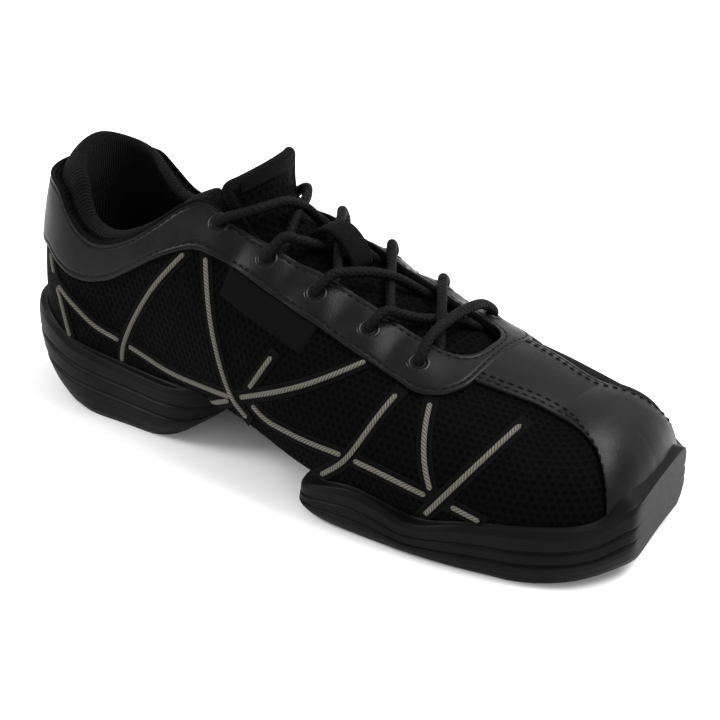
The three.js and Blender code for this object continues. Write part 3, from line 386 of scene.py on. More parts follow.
def grid_faces(rows, columns):
    """Quads of a grid of points numbered row by row."""
    i, j = np.meshgrid(np.arange(rows - 1), np.arange(columns - 1), indexing="ij")
    corner = i * columns + j
    return np.stack([corner, corner + 1, corner + columns + 1, corner + columns], -1).reshape(-1, 4)


def mesh_piece(name, points, faces, material, uv=None, weld=0.0, on_shoe=True):
    """Object from points in millimetres of the last and quads, with smooth faces that point outwards."""
    points = np.asarray(points, float).reshape(-1, 3)
    faces = np.asarray(faces, int)
    mesh = bpy.data.meshes.new(name)
    mesh.vertices.add(len(points))
    mesh.vertices.foreach_set("co", ((points - (REST_AT, 0, 0)) * MM).astype(np.float32).ravel())
    mesh.loops.add(faces.size)
    mesh.loops.foreach_set("vertex_index", faces.astype(np.int32).ravel())
    mesh.polygons.add(len(faces))
    mesh.polygons.foreach_set("loop_start", np.arange(0, faces.size, faces.shape[1], dtype=np.int32))
    mesh.update(calc_edges=True)
    if uv is not None:
        layer = mesh.uv_layers.new(name="surface")
        layer.data.foreach_set("uv", np.asarray(uv, np.float32).reshape(-1, 2)[faces.ravel()].ravel())
    mesh.polygons.foreach_set("use_smooth", np.ones(len(faces), bool))
    mesh.materials.append(material)
    mesh.validate()
    mesh.update()
    piece = bpy.data.objects.new(name, mesh)
    bpy.context.scene.collection.objects.link(piece)
    if weld:
        b = bmesh.new()
        b.from_mesh(mesh)
        bmesh.ops.remove_doubles(b, verts=b.verts, dist=weld * MM)
        b.to_mesh(mesh)
        b.free()
    if on_shoe:
        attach(piece, "root")
    return piece


def two_sides(name, make, material, weld=0.02, with_uv=False):
    """Piece made of one grid on each side of the last. make gives a side's points, and its uv if asked."""
    points, uvs, faces = [], [], []
    for side in SIDES:
        made = make(side)
        grid, uv = made if with_uv else (made, None)
        quads = grid_faces(*grid.shape[:2]) + sum(len(p) for p in points)
        points.append(grid.reshape(-1, 3))
        uvs.append(uv)
        faces.append(quads if side < 0 else quads[:, ::-1])
    uv = np.concatenate([u.reshape(-1, 2) for u in uvs]) if with_uv else None
    return mesh_piece(name, np.concatenate(points), np.concatenate(faces), material, uv, weld)


# Lines on the last, each a pair of arrays (turn, lift)


def even_line(side, turn, lift, count):
    """A line with its points spread evenly by length."""
    run = run_length(last_point(turn, side, lift))
    share = run / run[-1]
    at = np.linspace(0, 1, count)
    return np.interp(at, share, turn), np.interp(at, share, lift)


def between(side, low, high, count, grow):
    """Rows of points over the last from one line to another.

    The rows are counted by length: first the edge's insets in from the low line, then count rows spread
    evenly, then the insets back from the high line. Columns are lines of constant place along both lines.
    """
    (turn0, lift0), (turn1, lift1) = low, high
    w = np.linspace(0, 1, 41)[:, None]
    path = last_point(turn0 + (turn1 - turn0) * w, side, lift0 + (lift1 - lift0) * w)
    run = run_length(path)
    length = run[-1]
    inset = np.minimum(np.array(EDGE_INSET)[:, None], 0.45 * length)
    first, last = inset[-1], length - inset[-1]
    middle = first + (last - first) * np.linspace(0, 1, count)[:, None]
    target = np.concatenate([inset[:-1], middle, (length - inset[:-1])[::-1]])
    share = np.stack([np.interp(target[:, j], run[:, j], w[:, 0]) for j in range(len(turn0))], 1)
    return last_point(turn0 + (turn1 - turn0) * share, side, lift0 + (lift1 - lift0) * share, grow)


def row_rise(count, one_edge):
    """Share of its thickness that each row of an overlay stands up, low at its edges."""
    edge = np.array(EDGE_RISE[:-1])
    return np.concatenate([edge, np.ones(count), np.ones(len(edge)) if one_edge else edge[::-1]])


def side_turns(start=-1.0, end=2.0, step=1.8):
    """Turns spaced about evenly by length along one side."""
    spans = ((-1, 0, HEEL_ARC), (0, 1, BODY), (1, 2, TOE_ARC))
    parts = [np.linspace(a, b, int(length / step) + 1)[:-1] for a, b, length in spans]
    turns = np.append(np.concatenate(parts), 2.0)
    kept = turns[(turns > start) & (turns < end)]
    return np.concatenate([[start], kept, [end]])


def band_lower(side, turn):
    """Lower edge of the collar leather."""
    return lift_on_line(turn, side, BAND_EDGE)


def eyestay_front(side, count):
    """Outer and inner lines of the front of the eyestay, from beside the throat round to the ridge."""
    turn = np.append(np.linspace(FRONT_PART, EYESTAY_END, 400), EYESTAY_END)
    lift = np.append(band_lower(side, turn[:-1]), math.pi / 2)
    outer = even_line(side, turn, np.minimum(lift, math.pi / 2), count)
    turn = np.linspace(FRONT_PART, share_x(THROAT_FRONT), 400)
    inner = even_line(side, turn, top_lift(turn, side), count)
    return outer, inner


def band_lines(side):
    """Low and high lines of the collar leather, from the heel's back to the front of the eyestay."""
    turn = side_turns(-1, FRONT_PART, 1.5)
    outer, inner = eyestay_front(side, 60)
    low = band_lower(side, turn)
    high = top_lift(turn, side)
    return (
        (np.append(turn, outer[0][1:]), np.append(low, outer[1][1:])),
        (np.append(turn, inner[0][1:]), np.append(high, inner[1][1:])),
    )


def toe_lines(side):
    """Low and high lines of the toe leather: its seam, down to the sole and round the tip; and the ridge."""
    along = np.linspace(TOE_REAR, TOE_SEAM["along"][-1], 300)
    x = along_x(along)
    y = HALF_BALL * tabled(TOE_SEAM, "half", along)
    fan = np.arctan2(x - along_x(1), y) / (math.pi / 2) + 1
    turn = np.where(along < 1, along, fan)
    away = np.where(along < 1, y, np.hypot(x - along_x(1), y))
    share = away / reach(turn, side)
    keep = share < 0.999
    turn, lift = turn[keep], np.arccos(share[keep])
    corner = turn[-1]
    down = np.linspace(0, rim_lift(np.array(corner), side), 30)[1:]
    round_turn = np.linspace(corner, 2, 60)[1:]
    turn = np.concatenate([turn, np.full(29, corner), round_turn])
    lift = np.concatenate([lift, down, rim_lift(round_turn, side)])
    low = even_line(side, turn, lift, 150)
    s = np.linspace(0, 1, 150)
    body = float(np.interp(1.0, low[0], s))
    ridge_turn = np.where(s < body, TOE_REAR + (1 - TOE_REAR) * s / body, 1 + (s - body) / (1 - body))
    return low, (ridge_turn, np.full(150, math.pi / 2))


def rim_lift(turn, side):
    """Lift a little under the forefoot unit's rim."""
    lift = np.zeros(np.shape(turn))
    for _ in range(10):
        x = last_point(turn, side, lift)[..., 0]
        lift = lift_at(turn, FOREFOOT_RIM * tabled(FOREFOOT_RIM_LINE, "height", share_x(x)) - 1.5)
    return lift


# Materials


def node(tree, kind, inputs=None, **settings):
    """New shader node. Each input is a value, or the output of another node."""
    made = tree.nodes.new(kind)
    for key, value in settings.items():
        setattr(made, key, value)
    for key, value in (inputs or {}).items():
        if isinstance(value, bpy.types.NodeSocket):
            tree.links.new(value, made.inputs[key])
        else:
            made.inputs[key].default_value = value
    return made


def maths(tree, operation, *values):
    return node(tree, "ShaderNodeMath", dict(enumerate(values)), operation=operation).outputs[0]


def vectors(tree, operation, *values):
    made = node(tree, "ShaderNodeVectorMath", dict(enumerate(values)), operation=operation)
    return made.outputs["Value" if operation == "LENGTH" else "Vector"]


def ramp(tree, value, low, high, start=0.0, end=1.0):
    """Value mapped from low..high to start..end, with soft ends."""
    made = node(
        tree,
        "ShaderNodeMapRange",
        {"Value": value, "From Min": low, "From Max": high, "To Min": start, "To Max": end},
        interpolation_type="SMOOTHSTEP",
    )
    return made.outputs["Result"]


def blend_colours(tree, share, a, b):
    made = node(tree, "ShaderNodeMix", {0: share, 6: (*a, 1), 7: (*b, 1)}, data_type="RGBA")
    return made.outputs[2]


def noise(tree, place, size, detail=3.0):
    """Soft noise with features of a size in millimetres."""
    made = node(tree, "ShaderNodeTexNoise", {"Vector": place, "Scale": 1 / (size * MM), "Detail": detail})
    return made.outputs["Fac"]


def material(name):
    """Empty material with its shader, its object coordinates and its surface coordinates in millimetres."""
    made = bpy.data.materials.new(name)
    made.use_nodes = True
    tree = made.node_tree
    tree.nodes.clear()
    shader = node(tree, "ShaderNodeBsdfPrincipled")
    node(tree, "ShaderNodeOutputMaterial", {"Surface": shader.outputs[0]})
    place = node(tree, "ShaderNodeTexCoord")
    return made, tree, shader, place.outputs["Object"], place.outputs["UV"]


def finish_material(tree, shader, colour, roughness, height, depth, shine=0.5):
    """Wires colour, roughness and a bump, and sets the shine. Depth is the bump's height in millimetres."""
    shader.inputs["Specular IOR Level"].default_value = shine
    bump = node(tree, "ShaderNodeBump", {"Height": height, "Distance": depth * MM, "Strength": 1.0})
    tree.links.new(colour, shader.inputs["Base Color"])
    tree.links.new(roughness, shader.inputs["Roughness"])
    tree.links.new(bump.outputs["Normal"], shader.inputs["Normal"])


def cell_distance(tree, place, pitch, shift):
    """Distance in millimetres from the nearest cell's middle, in one of a honeycomb's two lattices."""
    cell = (pitch, pitch * math.sqrt(3), 1.0)
    spot = vectors(tree, "DIVIDE", place, cell)
    spot = vectors(tree, "ADD", spot, (shift, shift, 0.0))
    spot = vectors(tree, "FRACTION", spot)
    spot = vectors(tree, "SUBTRACT", spot, (0.5, 0.5, 0.0))
    spot = vectors(tree, "MULTIPLY", spot, (cell[0], cell[1], 0.0))
    return vectors(tree, "LENGTH", spot)


def mesh_cloth(name, colours, pitch, hole):
    """Open knitted mesh: a honeycomb of round holes in a padded cloth, with fine threads between them. The
    holes take the dark hole colour as painted shade inside them.
    """
    made, tree, shader, place, surface = material(name)
    cloud = node(tree, "ShaderNodeTexNoise", {"Vector": surface, "Scale": 0.12, "Detail": 1.0})
    wander = vectors(tree, "SCALE", cloud.outputs["Color"])
    wander.node.inputs["Scale"].default_value = 0.9
    spot = vectors(tree, "ADD", surface, wander)
    lattices = [cell_distance(tree, spot, pitch, shift) for shift in (0.0, 0.5)]
    near = maths(tree, "MINIMUM", *lattices)
    cloth = ramp(tree, near, hole * 0.72, hole * 1.18)
    threads = node(
        tree, "ShaderNodeTexWave", {"Vector": surface, "Scale": 0.9, "Distortion": 2.5, "Detail": 1.0},
        bands_direction="DIAGONAL").outputs["Fac"]
    fuzz = noise(tree, place, 0.35)
    height = maths(tree, "ADD", cloth, maths(tree, "MULTIPLY", threads, 0.12))
    height = maths(tree, "ADD", height, maths(tree, "MULTIPLY", fuzz, 0.15))
    # Mix share: the threads' random tone on the threads, zero in the holes, which take the hole colour as
    # painted shade.
    shade = maths(tree, "MULTIPLY", cloth, ramp(tree, fuzz, 0.3, 0.75, 0.7, 1.0))
    colour = blend_colours(tree, shade, colours.hole, colours.mesh)
    finish_material(tree, shader, colour, ramp(tree, fuzz, 0.3, 0.7, 0.62, 0.8), height, 0.55, 0.018)
    shader.inputs["Sheen Weight"].default_value = 0.003
    shader.inputs["Sheen Roughness"].default_value = 0.4
    return made


def leather(name, colour, gloss=0.3, crease=0.1):
    """Smooth coated leather: a fine pebble grain over soft creases, a little duller where it has rubbed."""
    made, tree, shader, place, _ = material(name)
    grain = node(
        tree, "ShaderNodeTexVoronoi", {"Vector": place, "Scale": 1 / (0.75 * MM), "Smoothness": 0.6},
        feature="SMOOTH_F1").outputs["Distance"]
    soft = noise(tree, place, 9.0, 2.0)
    fine = noise(tree, place, 0.5, 2.0)
    height = maths(tree, "MULTIPLY", grain, 0.22)
    height = maths(tree, "ADD", height, maths(tree, "MULTIPLY", soft, crease * 4))
    height = maths(tree, "ADD", height, maths(tree, "MULTIPLY", fine, 0.12))
    dark = tuple(0.72 * c for c in colour)
    tint = blend_colours(tree, ramp(tree, soft, 0.3, 0.7), dark, colour)
    rubbed = ramp(tree, soft, 0.35, 0.65, gloss, gloss + 0.1)
    rough = maths(tree, "ADD", rubbed, maths(tree, "MULTIPLY", fine, 0.08))
    finish_material(tree, shader, tint, rough, height, 0.14, 0.11)
    return made


def moulded_foam(name, colour):
    """Matte moulded sole foam: a fine pitted skin with faint flow marks and scuffs."""
    made, tree, shader, place, _ = material(name)
    pits = noise(tree, place, 0.7, 4.0)
    flow = noise(tree, place, 14.0, 3.0)
    scuff = noise(tree, place, 3.2, 5.0)
    height = maths(tree, "ADD", maths(tree, "MULTIPLY", pits, 0.6), maths(tree, "MULTIPLY", flow, 0.3))
    dark, pale = (tuple(share * c for c in colour) for share in (0.8, 1.15))
    tint = blend_colours(tree, ramp(tree, flow, 0.3, 0.7), dark, pale)
    finish_material(tree, shader, tint, ramp(tree, scuff, 0.3, 0.75, 0.45, 0.48), height, 0.03, 0.055)
    return made


def ribbed_knit(name, colour, pitch, depth, across=1.1, sheen=0.015):
    """Knit whose ribs run up the surface at a pitch, with stitches across them. Its low parts are painted
    darker, as shade between ribs and stitches.
    """
    made, tree, shader, place, surface = material(name)
    parts = node(tree, "ShaderNodeSeparateXYZ", {"Vector": surface})
    u, v = parts.outputs[0], parts.outputs[1]
    rib = maths(tree, "ABSOLUTE", maths(tree, "SINE", maths(tree, "MULTIPLY", u, math.pi / pitch)))
    lean = maths(tree, "ADD", v, maths(tree, "MULTIPLY", rib, 0.5 * across))
    loops = maths(tree, "ABSOLUTE", maths(tree, "SINE", maths(tree, "MULTIPLY", lean, math.pi / across)))
    fuzz = noise(tree, place, 0.3)
    height = maths(tree, "ADD", rib, maths(tree, "MULTIPLY", loops, 0.35))
    height = maths(tree, "ADD", height, maths(tree, "MULTIPLY", fuzz, 0.25))
    # Painted shade: the colour falls to 0.35 of itself where ribs and stitches are low.
    tint = blend_colours(tree, ramp(tree, height, 0.2, 1.4), tuple(0.35 * c for c in colour), colour)
    finish_material(tree, shader, tint, ramp(tree, fuzz, 0.3, 0.7, 0.72, 0.88), height, depth, 0.035)
    shader.inputs["Sheen Weight"].default_value = sheen
    return made


def braided_cord(name, colour, groove_shade, pitch, strands, depth, gloss=0.55, twist=False):
    """Braid on a tube whose surface runs along it in millimetres and once round it from 0 to 1.

    Two sets of slanted strands cross and the higher of the two shows; a twist has only the one set. The
    lows between strands are painted in the darker groove colour, as shade in the grooves.
    """
    made, tree, shader, place, surface = material(name)
    parts = node(tree, "ShaderNodeSeparateXYZ", {"Vector": surface})
    along = maths(tree, "MULTIPLY", parts.outputs[0], 2 * math.pi / pitch)
    round_it = maths(tree, "MULTIPLY", parts.outputs[1], 2 * math.pi * strands)
    one = maths(tree, "SINE", maths(tree, "ADD", along, round_it))
    two = maths(tree, "SINE", maths(tree, "SUBTRACT", along, round_it))
    height = one if twist else maths(tree, "MAXIMUM", one, two)
    low, high = (-0.8, 0.4) if twist else (0.25, 0.95)
    fuzz = noise(tree, place, 0.25)
    height = maths(tree, "ADD", height, maths(tree, "MULTIPLY", fuzz, 0.5))
    # Painted shade: the low parts between strands take the darker groove colour.
    tint = blend_colours(tree, ramp(tree, height, low, high), groove_shade, colour)
    finish_material(tree, shader, tint, ramp(tree, fuzz, 0.3, 0.7, gloss, gloss + 0.2), height, depth, 0.07)
    return made


def enamel(name, colour):
    made, tree, shader, place, _ = material(name)
    scratch = noise(tree, place, 0.6, 4.0)
    tint = blend_colours(tree, ramp(tree, scratch, 0.35, 0.8), colour, tuple(1.6 * c for c in colour))
    finish_material(tree, shader, tint, ramp(tree, scratch, 0.3, 0.7, 0.22, 0.34), scratch, 0.02, 0.15)
    return made


def studio_paper(name, colour):
    made, tree, shader, place, _ = material(name)
    grain = noise(tree, place, 40.0, 2.0)
    tint = blend_colours(tree, grain, tuple(0.985 * c for c in colour), colour)
    finish_material(tree, shader, tint, ramp(tree, grain, 0, 1, 0.75, 0.85), grain, 0.05)
    return made


# Settings


def length_setting(name, default, description):
    description += ", in millimetres"
    return bpy.props.FloatProperty(name=name, default=default, min=0.01, description=description)


def colour_setting(name, default, description):
    return bpy.props.FloatVectorProperty(
        name=name, default=default, size=3, min=0.0, max=1.0, subtype="COLOR", description=description
    )


class SneakerSizes(bpy.types.PropertyGroup):
    """Sizes of the finish, in millimetres."""

    mesh_pitch: length_setting("Mesh pitch", 2.75, "Distance between neighbouring holes of the mesh")
    mesh_hole: length_setting("Mesh hole", 0.86, "Radius of a hole in the mesh")
    rib_pitch: length_setting("Rib pitch", 1.3, "Distance between the ribs of the lining")
    lace_diameter: length_setting("Lace diameter", 3.7, "Thickness of the round lace")
    cord_width: length_setting("Piping cord", 1.8, "Width of the silver cord")
    tape_width: length_setting("Piping tape", 5.2, "Width of the dark tape under the silver cord")
    stitch_length: length_setting("Stitch", 2.3, "Length of a stitch")
    stitch_pitch: length_setting("Stitch pitch", 3.1, "Distance from stitch to stitch")


class SneakerColours(bpy.types.PropertyGroup):
    """Colours of the finish, as linear light."""

    mesh: colour_setting("Mesh", (0.0014, 0.0014, 0.0016), "Threads of the mesh")
    # Painted shade: the dark colour of the mesh holes stands for the shade inside them.
    hole: colour_setting("Mesh holes", (0.0004, 0.0004, 0.0005), "Inside of the mesh's holes")
    leather: colour_setting("Leather", (0.0028, 0.0028, 0.0031), "Coated leather")
    lining: colour_setting("Lining", (0.0034, 0.0034, 0.0039), "Knit of the collar lining")
    satin: colour_setting("Satin", (0.0018, 0.0018, 0.002), "Plain patches, tapes and bindings")
    lace: colour_setting("Lace", (0.0018, 0.0018, 0.002), "Round lace")
    silver: colour_setting("Silver cord", (0.11, 0.104, 0.088), "Bright strands of the piping cord")
    # Painted shade: the silver cord takes this dark colour in the grooves of its twist.
    groove_shade: colour_setting("Cord flecks", (0.03, 0.028, 0.023), "Dark strands of the piping cord")
    sole: colour_setting("Sole", (0.0024, 0.0024, 0.0026), "Moulded soles")
    thread: colour_setting("Thread", (0.003, 0.003, 0.0034), "Stitches")
    enamel: colour_setting("Eyelets", (0.003, 0.003, 0.0034), "Enamelled eyelets")
    floor: colour_setting("Floor", (0.92, 0.92, 0.92), "Seamless studio floor")


def sizes():
    return bpy.context.scene.sneaker_sizes


def colours():
    return bpy.context.scene.sneaker_colours


def finish(name):
    """Material of a finish, made the first time that it is asked for."""
    if name in bpy.data.materials:
        return bpy.data.materials[name]
    c, s = colours(), sizes()
    # Darker copies of the lace and thread colours, painted in their braids' grooves as shade.
    lace_groove_shade, thread_groove_shade = tuple(0.5 * v for v in c.lace), tuple(0.3 * v for v in c.thread)
    makers = {
        "open mesh": lambda: mesh_cloth(name, c, s.mesh_pitch, s.mesh_hole),
        "tongue mesh": lambda: mesh_cloth(name, c, 1.2 * s.mesh_pitch, 1.2 * s.mesh_hole),
        "coated leather": lambda: leather(name, tuple(c.leather)),
        "lining knit": lambda: ribbed_knit(name, tuple(c.lining), s.rib_pitch, 0.45),
        "tape": lambda: ribbed_knit(name, tuple(c.satin), 1.1, 0.3, across=0.9, sheen=0.01),
        "plain satin": lambda: ribbed_knit(name, tuple(c.satin), 0.45, 0.05, across=0.5, sheen=0.006),
        "insole cloth": lambda: ribbed_knit(name, tuple(c.lining), 0.8, 0.15),
        "lace cord": lambda: braided_cord(name, tuple(c.lace), lace_groove_shade, 2.2, 5, 0.1),
        "silver cord": lambda: braided_cord(name, tuple(c.silver), tuple(c.groove_shade), 1.3, 4, 0.1, 0.5, True),
        "sole foam": lambda: moulded_foam(name, tuple(c.sole)),
        "thread": lambda: braided_cord(name, tuple(c.thread), thread_groove_shade, 1.0, 2, 0.08, 0.4),
        "black enamel": lambda: enamel(name, tuple(c.enamel)),
        "studio paper": lambda: studio_paper(name, tuple(c.floor)),
    }
    return makers[name]()


def dress(piece, slot, *nodes):
    """The piece stands for these solids, which it hides. The slot is not used."""
    if nodes:
        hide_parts(*nodes)
    return piece


# The upper


def surface_uv(points, level_row):
    """Lengths over a grid in millimetres: run along each row, and run up each column from one row."""
    up = run_length(points)
    return np.stack([run_length(points, 1), up - up[level_row]], -1)


def upper_grid(side):
    """Wall of the last from the middle underneath up to the top edge.

    Underneath, the rows are even across the foot; on the wall below the fullest point, even in height; above
    it, even in lift up to the top edge.
    """
    turn = side_turns()
    across = np.linspace(0, 0.766, 12)
    down = np.linspace(0.9, 0, 14)
    low = np.concatenate([-np.arccos(across**2), -np.arcsin(down**2)])
    fullest_row = len(low) - 1
    low = np.repeat(low[:, None], len(turn), 1)
    high = top_lift(turn, side) * np.linspace(0, 1, 40)[1:, None]
    points = last_point(turn, side, np.concatenate([low, high]))
    return points, surface_uv(points, fullest_row)


class SNEAKER_OT_upper(bpy.types.Operator):
    """Mesh upper: the wall of the last with its thickness turned inwards"""

    bl_idname = "sneaker.upper"
    bl_label = "Mesh upper"

    def execute(self, context):
        upper = two_sides("mesh_upper", upper_grid, finish("open mesh"), with_uv=True)
        wall = upper.modifiers.new("Solidify", "SOLIDIFY")
        wall.thickness = UPPER_WALL * MM
        wall.offset = -1.0
        dress(upper, "mesh", "upper")
        return {"FINISHED"}


def eyelet_places(side):
    """Places of the eyelets seen from above, from the collar to the toe."""
    x = along_x(np.array(EYELETS["along"]))
    y = side * HALF_BALL * np.array(EYELETS["away"]) * (1 if side < 0 else MEDIAL_SHARE)
    return x, y


def eyestay_pull(points, side):
    """Height of the leather's folds: it sinks at each eyelet and swells between them."""
    x, y = eyelet_places(side)
    rise = np.zeros(points.shape[:-1])
    for a, b in zip(x, y):
        d = np.hypot(points[..., 0] - a, points[..., 1] - b)
        rise -= FOLD_SINK * np.exp(-((d / FOLD_SINK_WIDE) ** 2))
    for a, b in zip((x[1:] + x[:-1]) / 2, (y[1:] + y[:-1]) / 2):
        d = np.hypot((points[..., 0] - a) / 0.8, (points[..., 1] - b) / 1.6)
        rise += FOLD_SWELL * np.exp(-((d / FOLD_SWELL_WIDE) ** 2))
    return rise


def raised(side, low, high, thickness, count, pull=False, one_edge=False):
    """Overlay between two lines: rounded edges, and inside them its thickness over the mesh."""
    rise = row_rise(count, one_edge)[:, None] * np.ones(len(low[0]))
    grow = np.where(rise > 0, CLEARANCE, 0) + thickness * rise
    points = between(side, low, high, count, grow)
    if pull:
        points = points + normals_of(points) * (-side * eyestay_pull(points, side) * rise)[..., None]
    return points


def toe_strip(side):
    """Half of the toe leather, from its seam to the ridge, averaged along its length."""
    points = raised(side, *toe_lines(side), TOE_THICKNESS, 34, one_edge=True)
    for _ in range(TOE_SMOOTHING):
        points[:, 1:-1] = (points[:, :-2] + 2 * points[:, 1:-1] + points[:, 2:]) / 4
    return points


class SNEAKER_OT_leathers(bpy.types.Operator):
    """Collar and eyestay leather, and the strip over the toe"""

    bl_idname = "sneaker.leathers"
    bl_label = "Leathers"

    def execute(self, context):
        band = two_sides(
            "collar_leather",
            lambda side: raised(side, *band_lines(side), BAND_THICKNESS, 26, pull=True),
            finish("coated leather"),
        )
        dress(band, "leather", "collar_band")
        toe = two_sides("toe_strip", toe_strip, finish("coated leather"))
        dress(toe, "leather", "toe_leather")
        return {"FINISHED"}


# Shared by the pieces below


def rim_height(x, which):
    """Height of a sole unit's rim along the shoe."""
    line, tall = (HEEL_RIM_LINE, HEEL_RIM) if which == "heel" else (FOREFOOT_RIM_LINE, FOREFOOT_RIM)
    return tall * tabled(line, "height", share_x(x))


def wall_point(turn, side, z, grow=0.0):
    """Point of the last's wall at a height, moved out by grow."""
    turn, z = np.broadcast_arrays(np.asarray(turn, float), np.asarray(z, float))
    point = last_point(turn, side, lift_at(turn, z, grow), grow)
    return np.concatenate([point[..., :2], z[..., None]], -1)


def wall_normal(turn, side, z):
    """Outward direction of the wall from two short steps along it."""
    along = wall_point(turn + 0.006, side, z) - wall_point(turn - 0.006, side, z)
    up = wall_point(turn, side, z + 0.4) - wall_point(turn, side, z - 0.4)
    n = np.cross(along, up) * -side
    return n / np.linalg.norm(n, axis=-1, keepdims=True)


def smooth_path(controls, step):
    """Even points on the Catmull-Rom curve through the controls, its knots the roots of the chord lengths."""
    p = np.asarray(controls, float)
    p = np.concatenate([[2 * p[0] - p[1]], p, [2 * p[-1] - p[-2]]])
    knots = np.concatenate([[0], np.cumsum(np.sqrt(np.linalg.norm(np.diff(p, axis=0), axis=-1)))])
    t = np.linspace(knots[1], knots[-2], 60 * len(p))
    i = np.clip(np.searchsorted(knots, t, side="right") - 1, 1, len(p) - 3)
    k = [knots[i + n] for n in (-1, 0, 1, 2)]
    q = [p[i + n] for n in (-1, 0, 1, 2)]

    def mix(a, b, ka, kb):
        w = ((t - ka) / (kb - ka))[:, None]
        return a * (1 - w) + b * w

    a = [mix(q[n], q[n + 1], k[n], k[n + 1]) for n in range(3)]
    b = [mix(a[0], a[1], k[0], k[2]), mix(a[1], a[2], k[1], k[3])]
    curve = mix(b[0], b[1], k[1], k[2])
    run = run_length(curve)
    even = np.linspace(0, run[-1], max(int(run[-1] / step), 8))
    return np.stack([np.interp(even, run, curve[:, axis]) for axis in range(3)], 1)


def tube_grid(path, radius, sides, reference, flat=1.0, round_ends=True):
    """Tube round a path: sides points on each ring, across = reference without the path's own direction."""
    ahead = np.gradient(path, axis=0)
    ahead /= np.linalg.norm(ahead, axis=-1, keepdims=True)
    reference = np.broadcast_to(reference, path.shape)
    one = reference - (reference * ahead).sum(-1, keepdims=True) * ahead
    one /= np.linalg.norm(one, axis=-1, keepdims=True)
    two = np.cross(ahead, one)
    run = run_length(path)
    wide = np.full(len(path), float(radius))
    if round_ends:
        near = np.clip(np.minimum(run, run[-1] - run) / radius, 0.0, 1.0)
        wide = radius * np.sqrt(np.clip(1 - (1 - near) ** 2, 0.0004, 1))
    angle = np.linspace(0, 2 * math.pi, sides + 1)
    ring = flat * np.cos(angle)[None, :, None] * one[:, None] + np.sin(angle)[None, :, None] * two[:, None]
    points = path[:, None] + wide[:, None, None] * ring
    uv = np.stack(np.broadcast_arrays(run[:, None], angle[None] / (2 * math.pi)), -1)
    return points, uv


def grids_piece(name, grids, finish_name, weld=0.02):
    """One object from several (points, uv) grids."""
    points, uvs, faces, start = [], [], [], 0
    for grid, uv in grids:
        points.append(grid.reshape(-1, 3))
        uvs.append(uv.reshape(-1, 2))
        faces.append(grid_faces(*grid.shape[:2]) + start)
        start += grid.shape[0] * grid.shape[1]
    points, faces, uvs = (np.concatenate(parts) for parts in (points, faces, uvs))
    return mesh_piece(name, points, faces, finish(finish_name), uvs, weld)


# The soles


def soft_profile(table, count):
    """Rows of a side table: its lean is a cubic, and averaging near levels rounds the grooves' corners."""
    level = np.linspace(0, 1, count)
    near = np.clip(level[:, None] + np.linspace(-0.014, 0.014, 9), 0, 1)
    rows = {name: tabled(table, name, level) for name in table if name != "level"}
    rows["out"] = np.interp(near, table["level"], table["out"]).mean(1)
    return level, rows


def heel_ring(level, out, scoop, undercut, columns):
    """Squarish oval as wide as the upper: a superellipse, squarer in front of the middle than behind."""
    angle = np.linspace(0, math.pi, columns)[None]
    back = HEEL_BACK + HEEL_SCOOP * scoop[:, None]
    front = HEEL_FRONT - HEEL_UNDERCUT * undercut[:, None]
    c = -np.cos(angle)
    power = np.where(c < 0, *HEEL_POWERS)
    arm = np.where(c < 0, REST_AT - back, front - REST_AT)
    x = REST_AT + arm * np.sign(c) * np.abs(c) ** (2 / power)
    rows = []
    for side in SIDES:
        half = reach(np.maximum(share_x(x), 0), side) + RIM * (1 + out[:, None])
        y = side * half * np.clip(np.sin(angle), 0, 1) ** (2 / power)
        rows.append(np.stack([x, y, level[:, None] * rim_height(x, "heel")], -1))
    return np.concatenate([rows[0], rows[1][:, ::-1]], 1)


def forefoot_ring(level, out, columns):
    """Rounded rear end, then the upper's own outline, then the toe platform cut by the flat toe face."""
    grow = RIM * (1 + out[:, None])
    rear = FOREFOOT_REAR + RIM - grow
    rows = []
    for side in SIDES:
        s = np.linspace(0, 1, columns)[None]
        x0 = rear + REAR_ROUND * (1 - np.cos(s * math.pi / 2))
        in_round = (rear + REAR_ROUND - x0) / REAR_ROUND
        y0 = side * np.clip(1 - in_round**5, 0, 1) ** 0.2 * (reach(share_x(x0), side) + grow)
        ground0 = 2 * in_round**2
        first = share_x(rear + REAR_ROUND)
        turn = first + (1 - first) * np.linspace(0, 1, columns + 1)[None, 1:]
        x1 = along_x(turn)
        y1 = side * (reach(turn, side) + grow)
        fan = np.linspace(1, 2, 2 * columns)[None, 1:]
        start, forward, outward = stand(fan, side)
        r = reach(fan, side) + grow + RIM * tabled(TOE_PLATFORM, "extra", fan)
        x2 = start + forward * r
        y2 = outward * r
        x = np.concatenate([x0 + 0 * y0, x1 + 0 * y1, x2], 1)
        y = np.concatenate([y0, y1, y2], 1)
        ground2 = TOE_SPRING * ((x2 - start) / (TOE_FACE - start)) ** 2
        ground = np.concatenate([ground0, 0 * x1 * y1, ground2], 1)
        x = x + REAR_SLANT * y * np.clip(1 - (x - rear) / (2 * REAR_ROUND), 0, 1)
        z = ground + level[:, None] * (rim_height(x, "forefoot") - ground)
        face = TOE_FACE - y * math.tan(TOE_FACE_TURN)
        x = face - 0.9 * np.logaddexp(0, (face - x) / 0.9)
        rows.append(np.stack([x, y, z], -1))
    return np.concatenate([rows[0], rows[1][:, ::-1]], 1)


def tread(points, channels, spot=None):
    """Lifts the ground face into straight channels across the shoe, and round a spot."""
    x, y = points[..., 0], points[..., 1]
    inside = np.zeros(x.shape)
    for middle, half in channels:
        edge = np.maximum(np.abs(x - middle) - TREAD_WIDTH / 2, np.abs(y) - half)
        inside = np.maximum(inside, np.clip(0.5 - edge, 0, 1))
    if spot is not None:
        edge = np.abs(np.hypot(x - spot, y) - PIVOT_SPOT - TREAD_WIDTH / 2) - TREAD_WIDTH / 2
        inside = np.maximum(inside, np.clip(0.5 - edge, 0, 1))
    points[..., 2] += inside * np.maximum(TREAD_DEPTH - points[..., 2], 0)
    return points


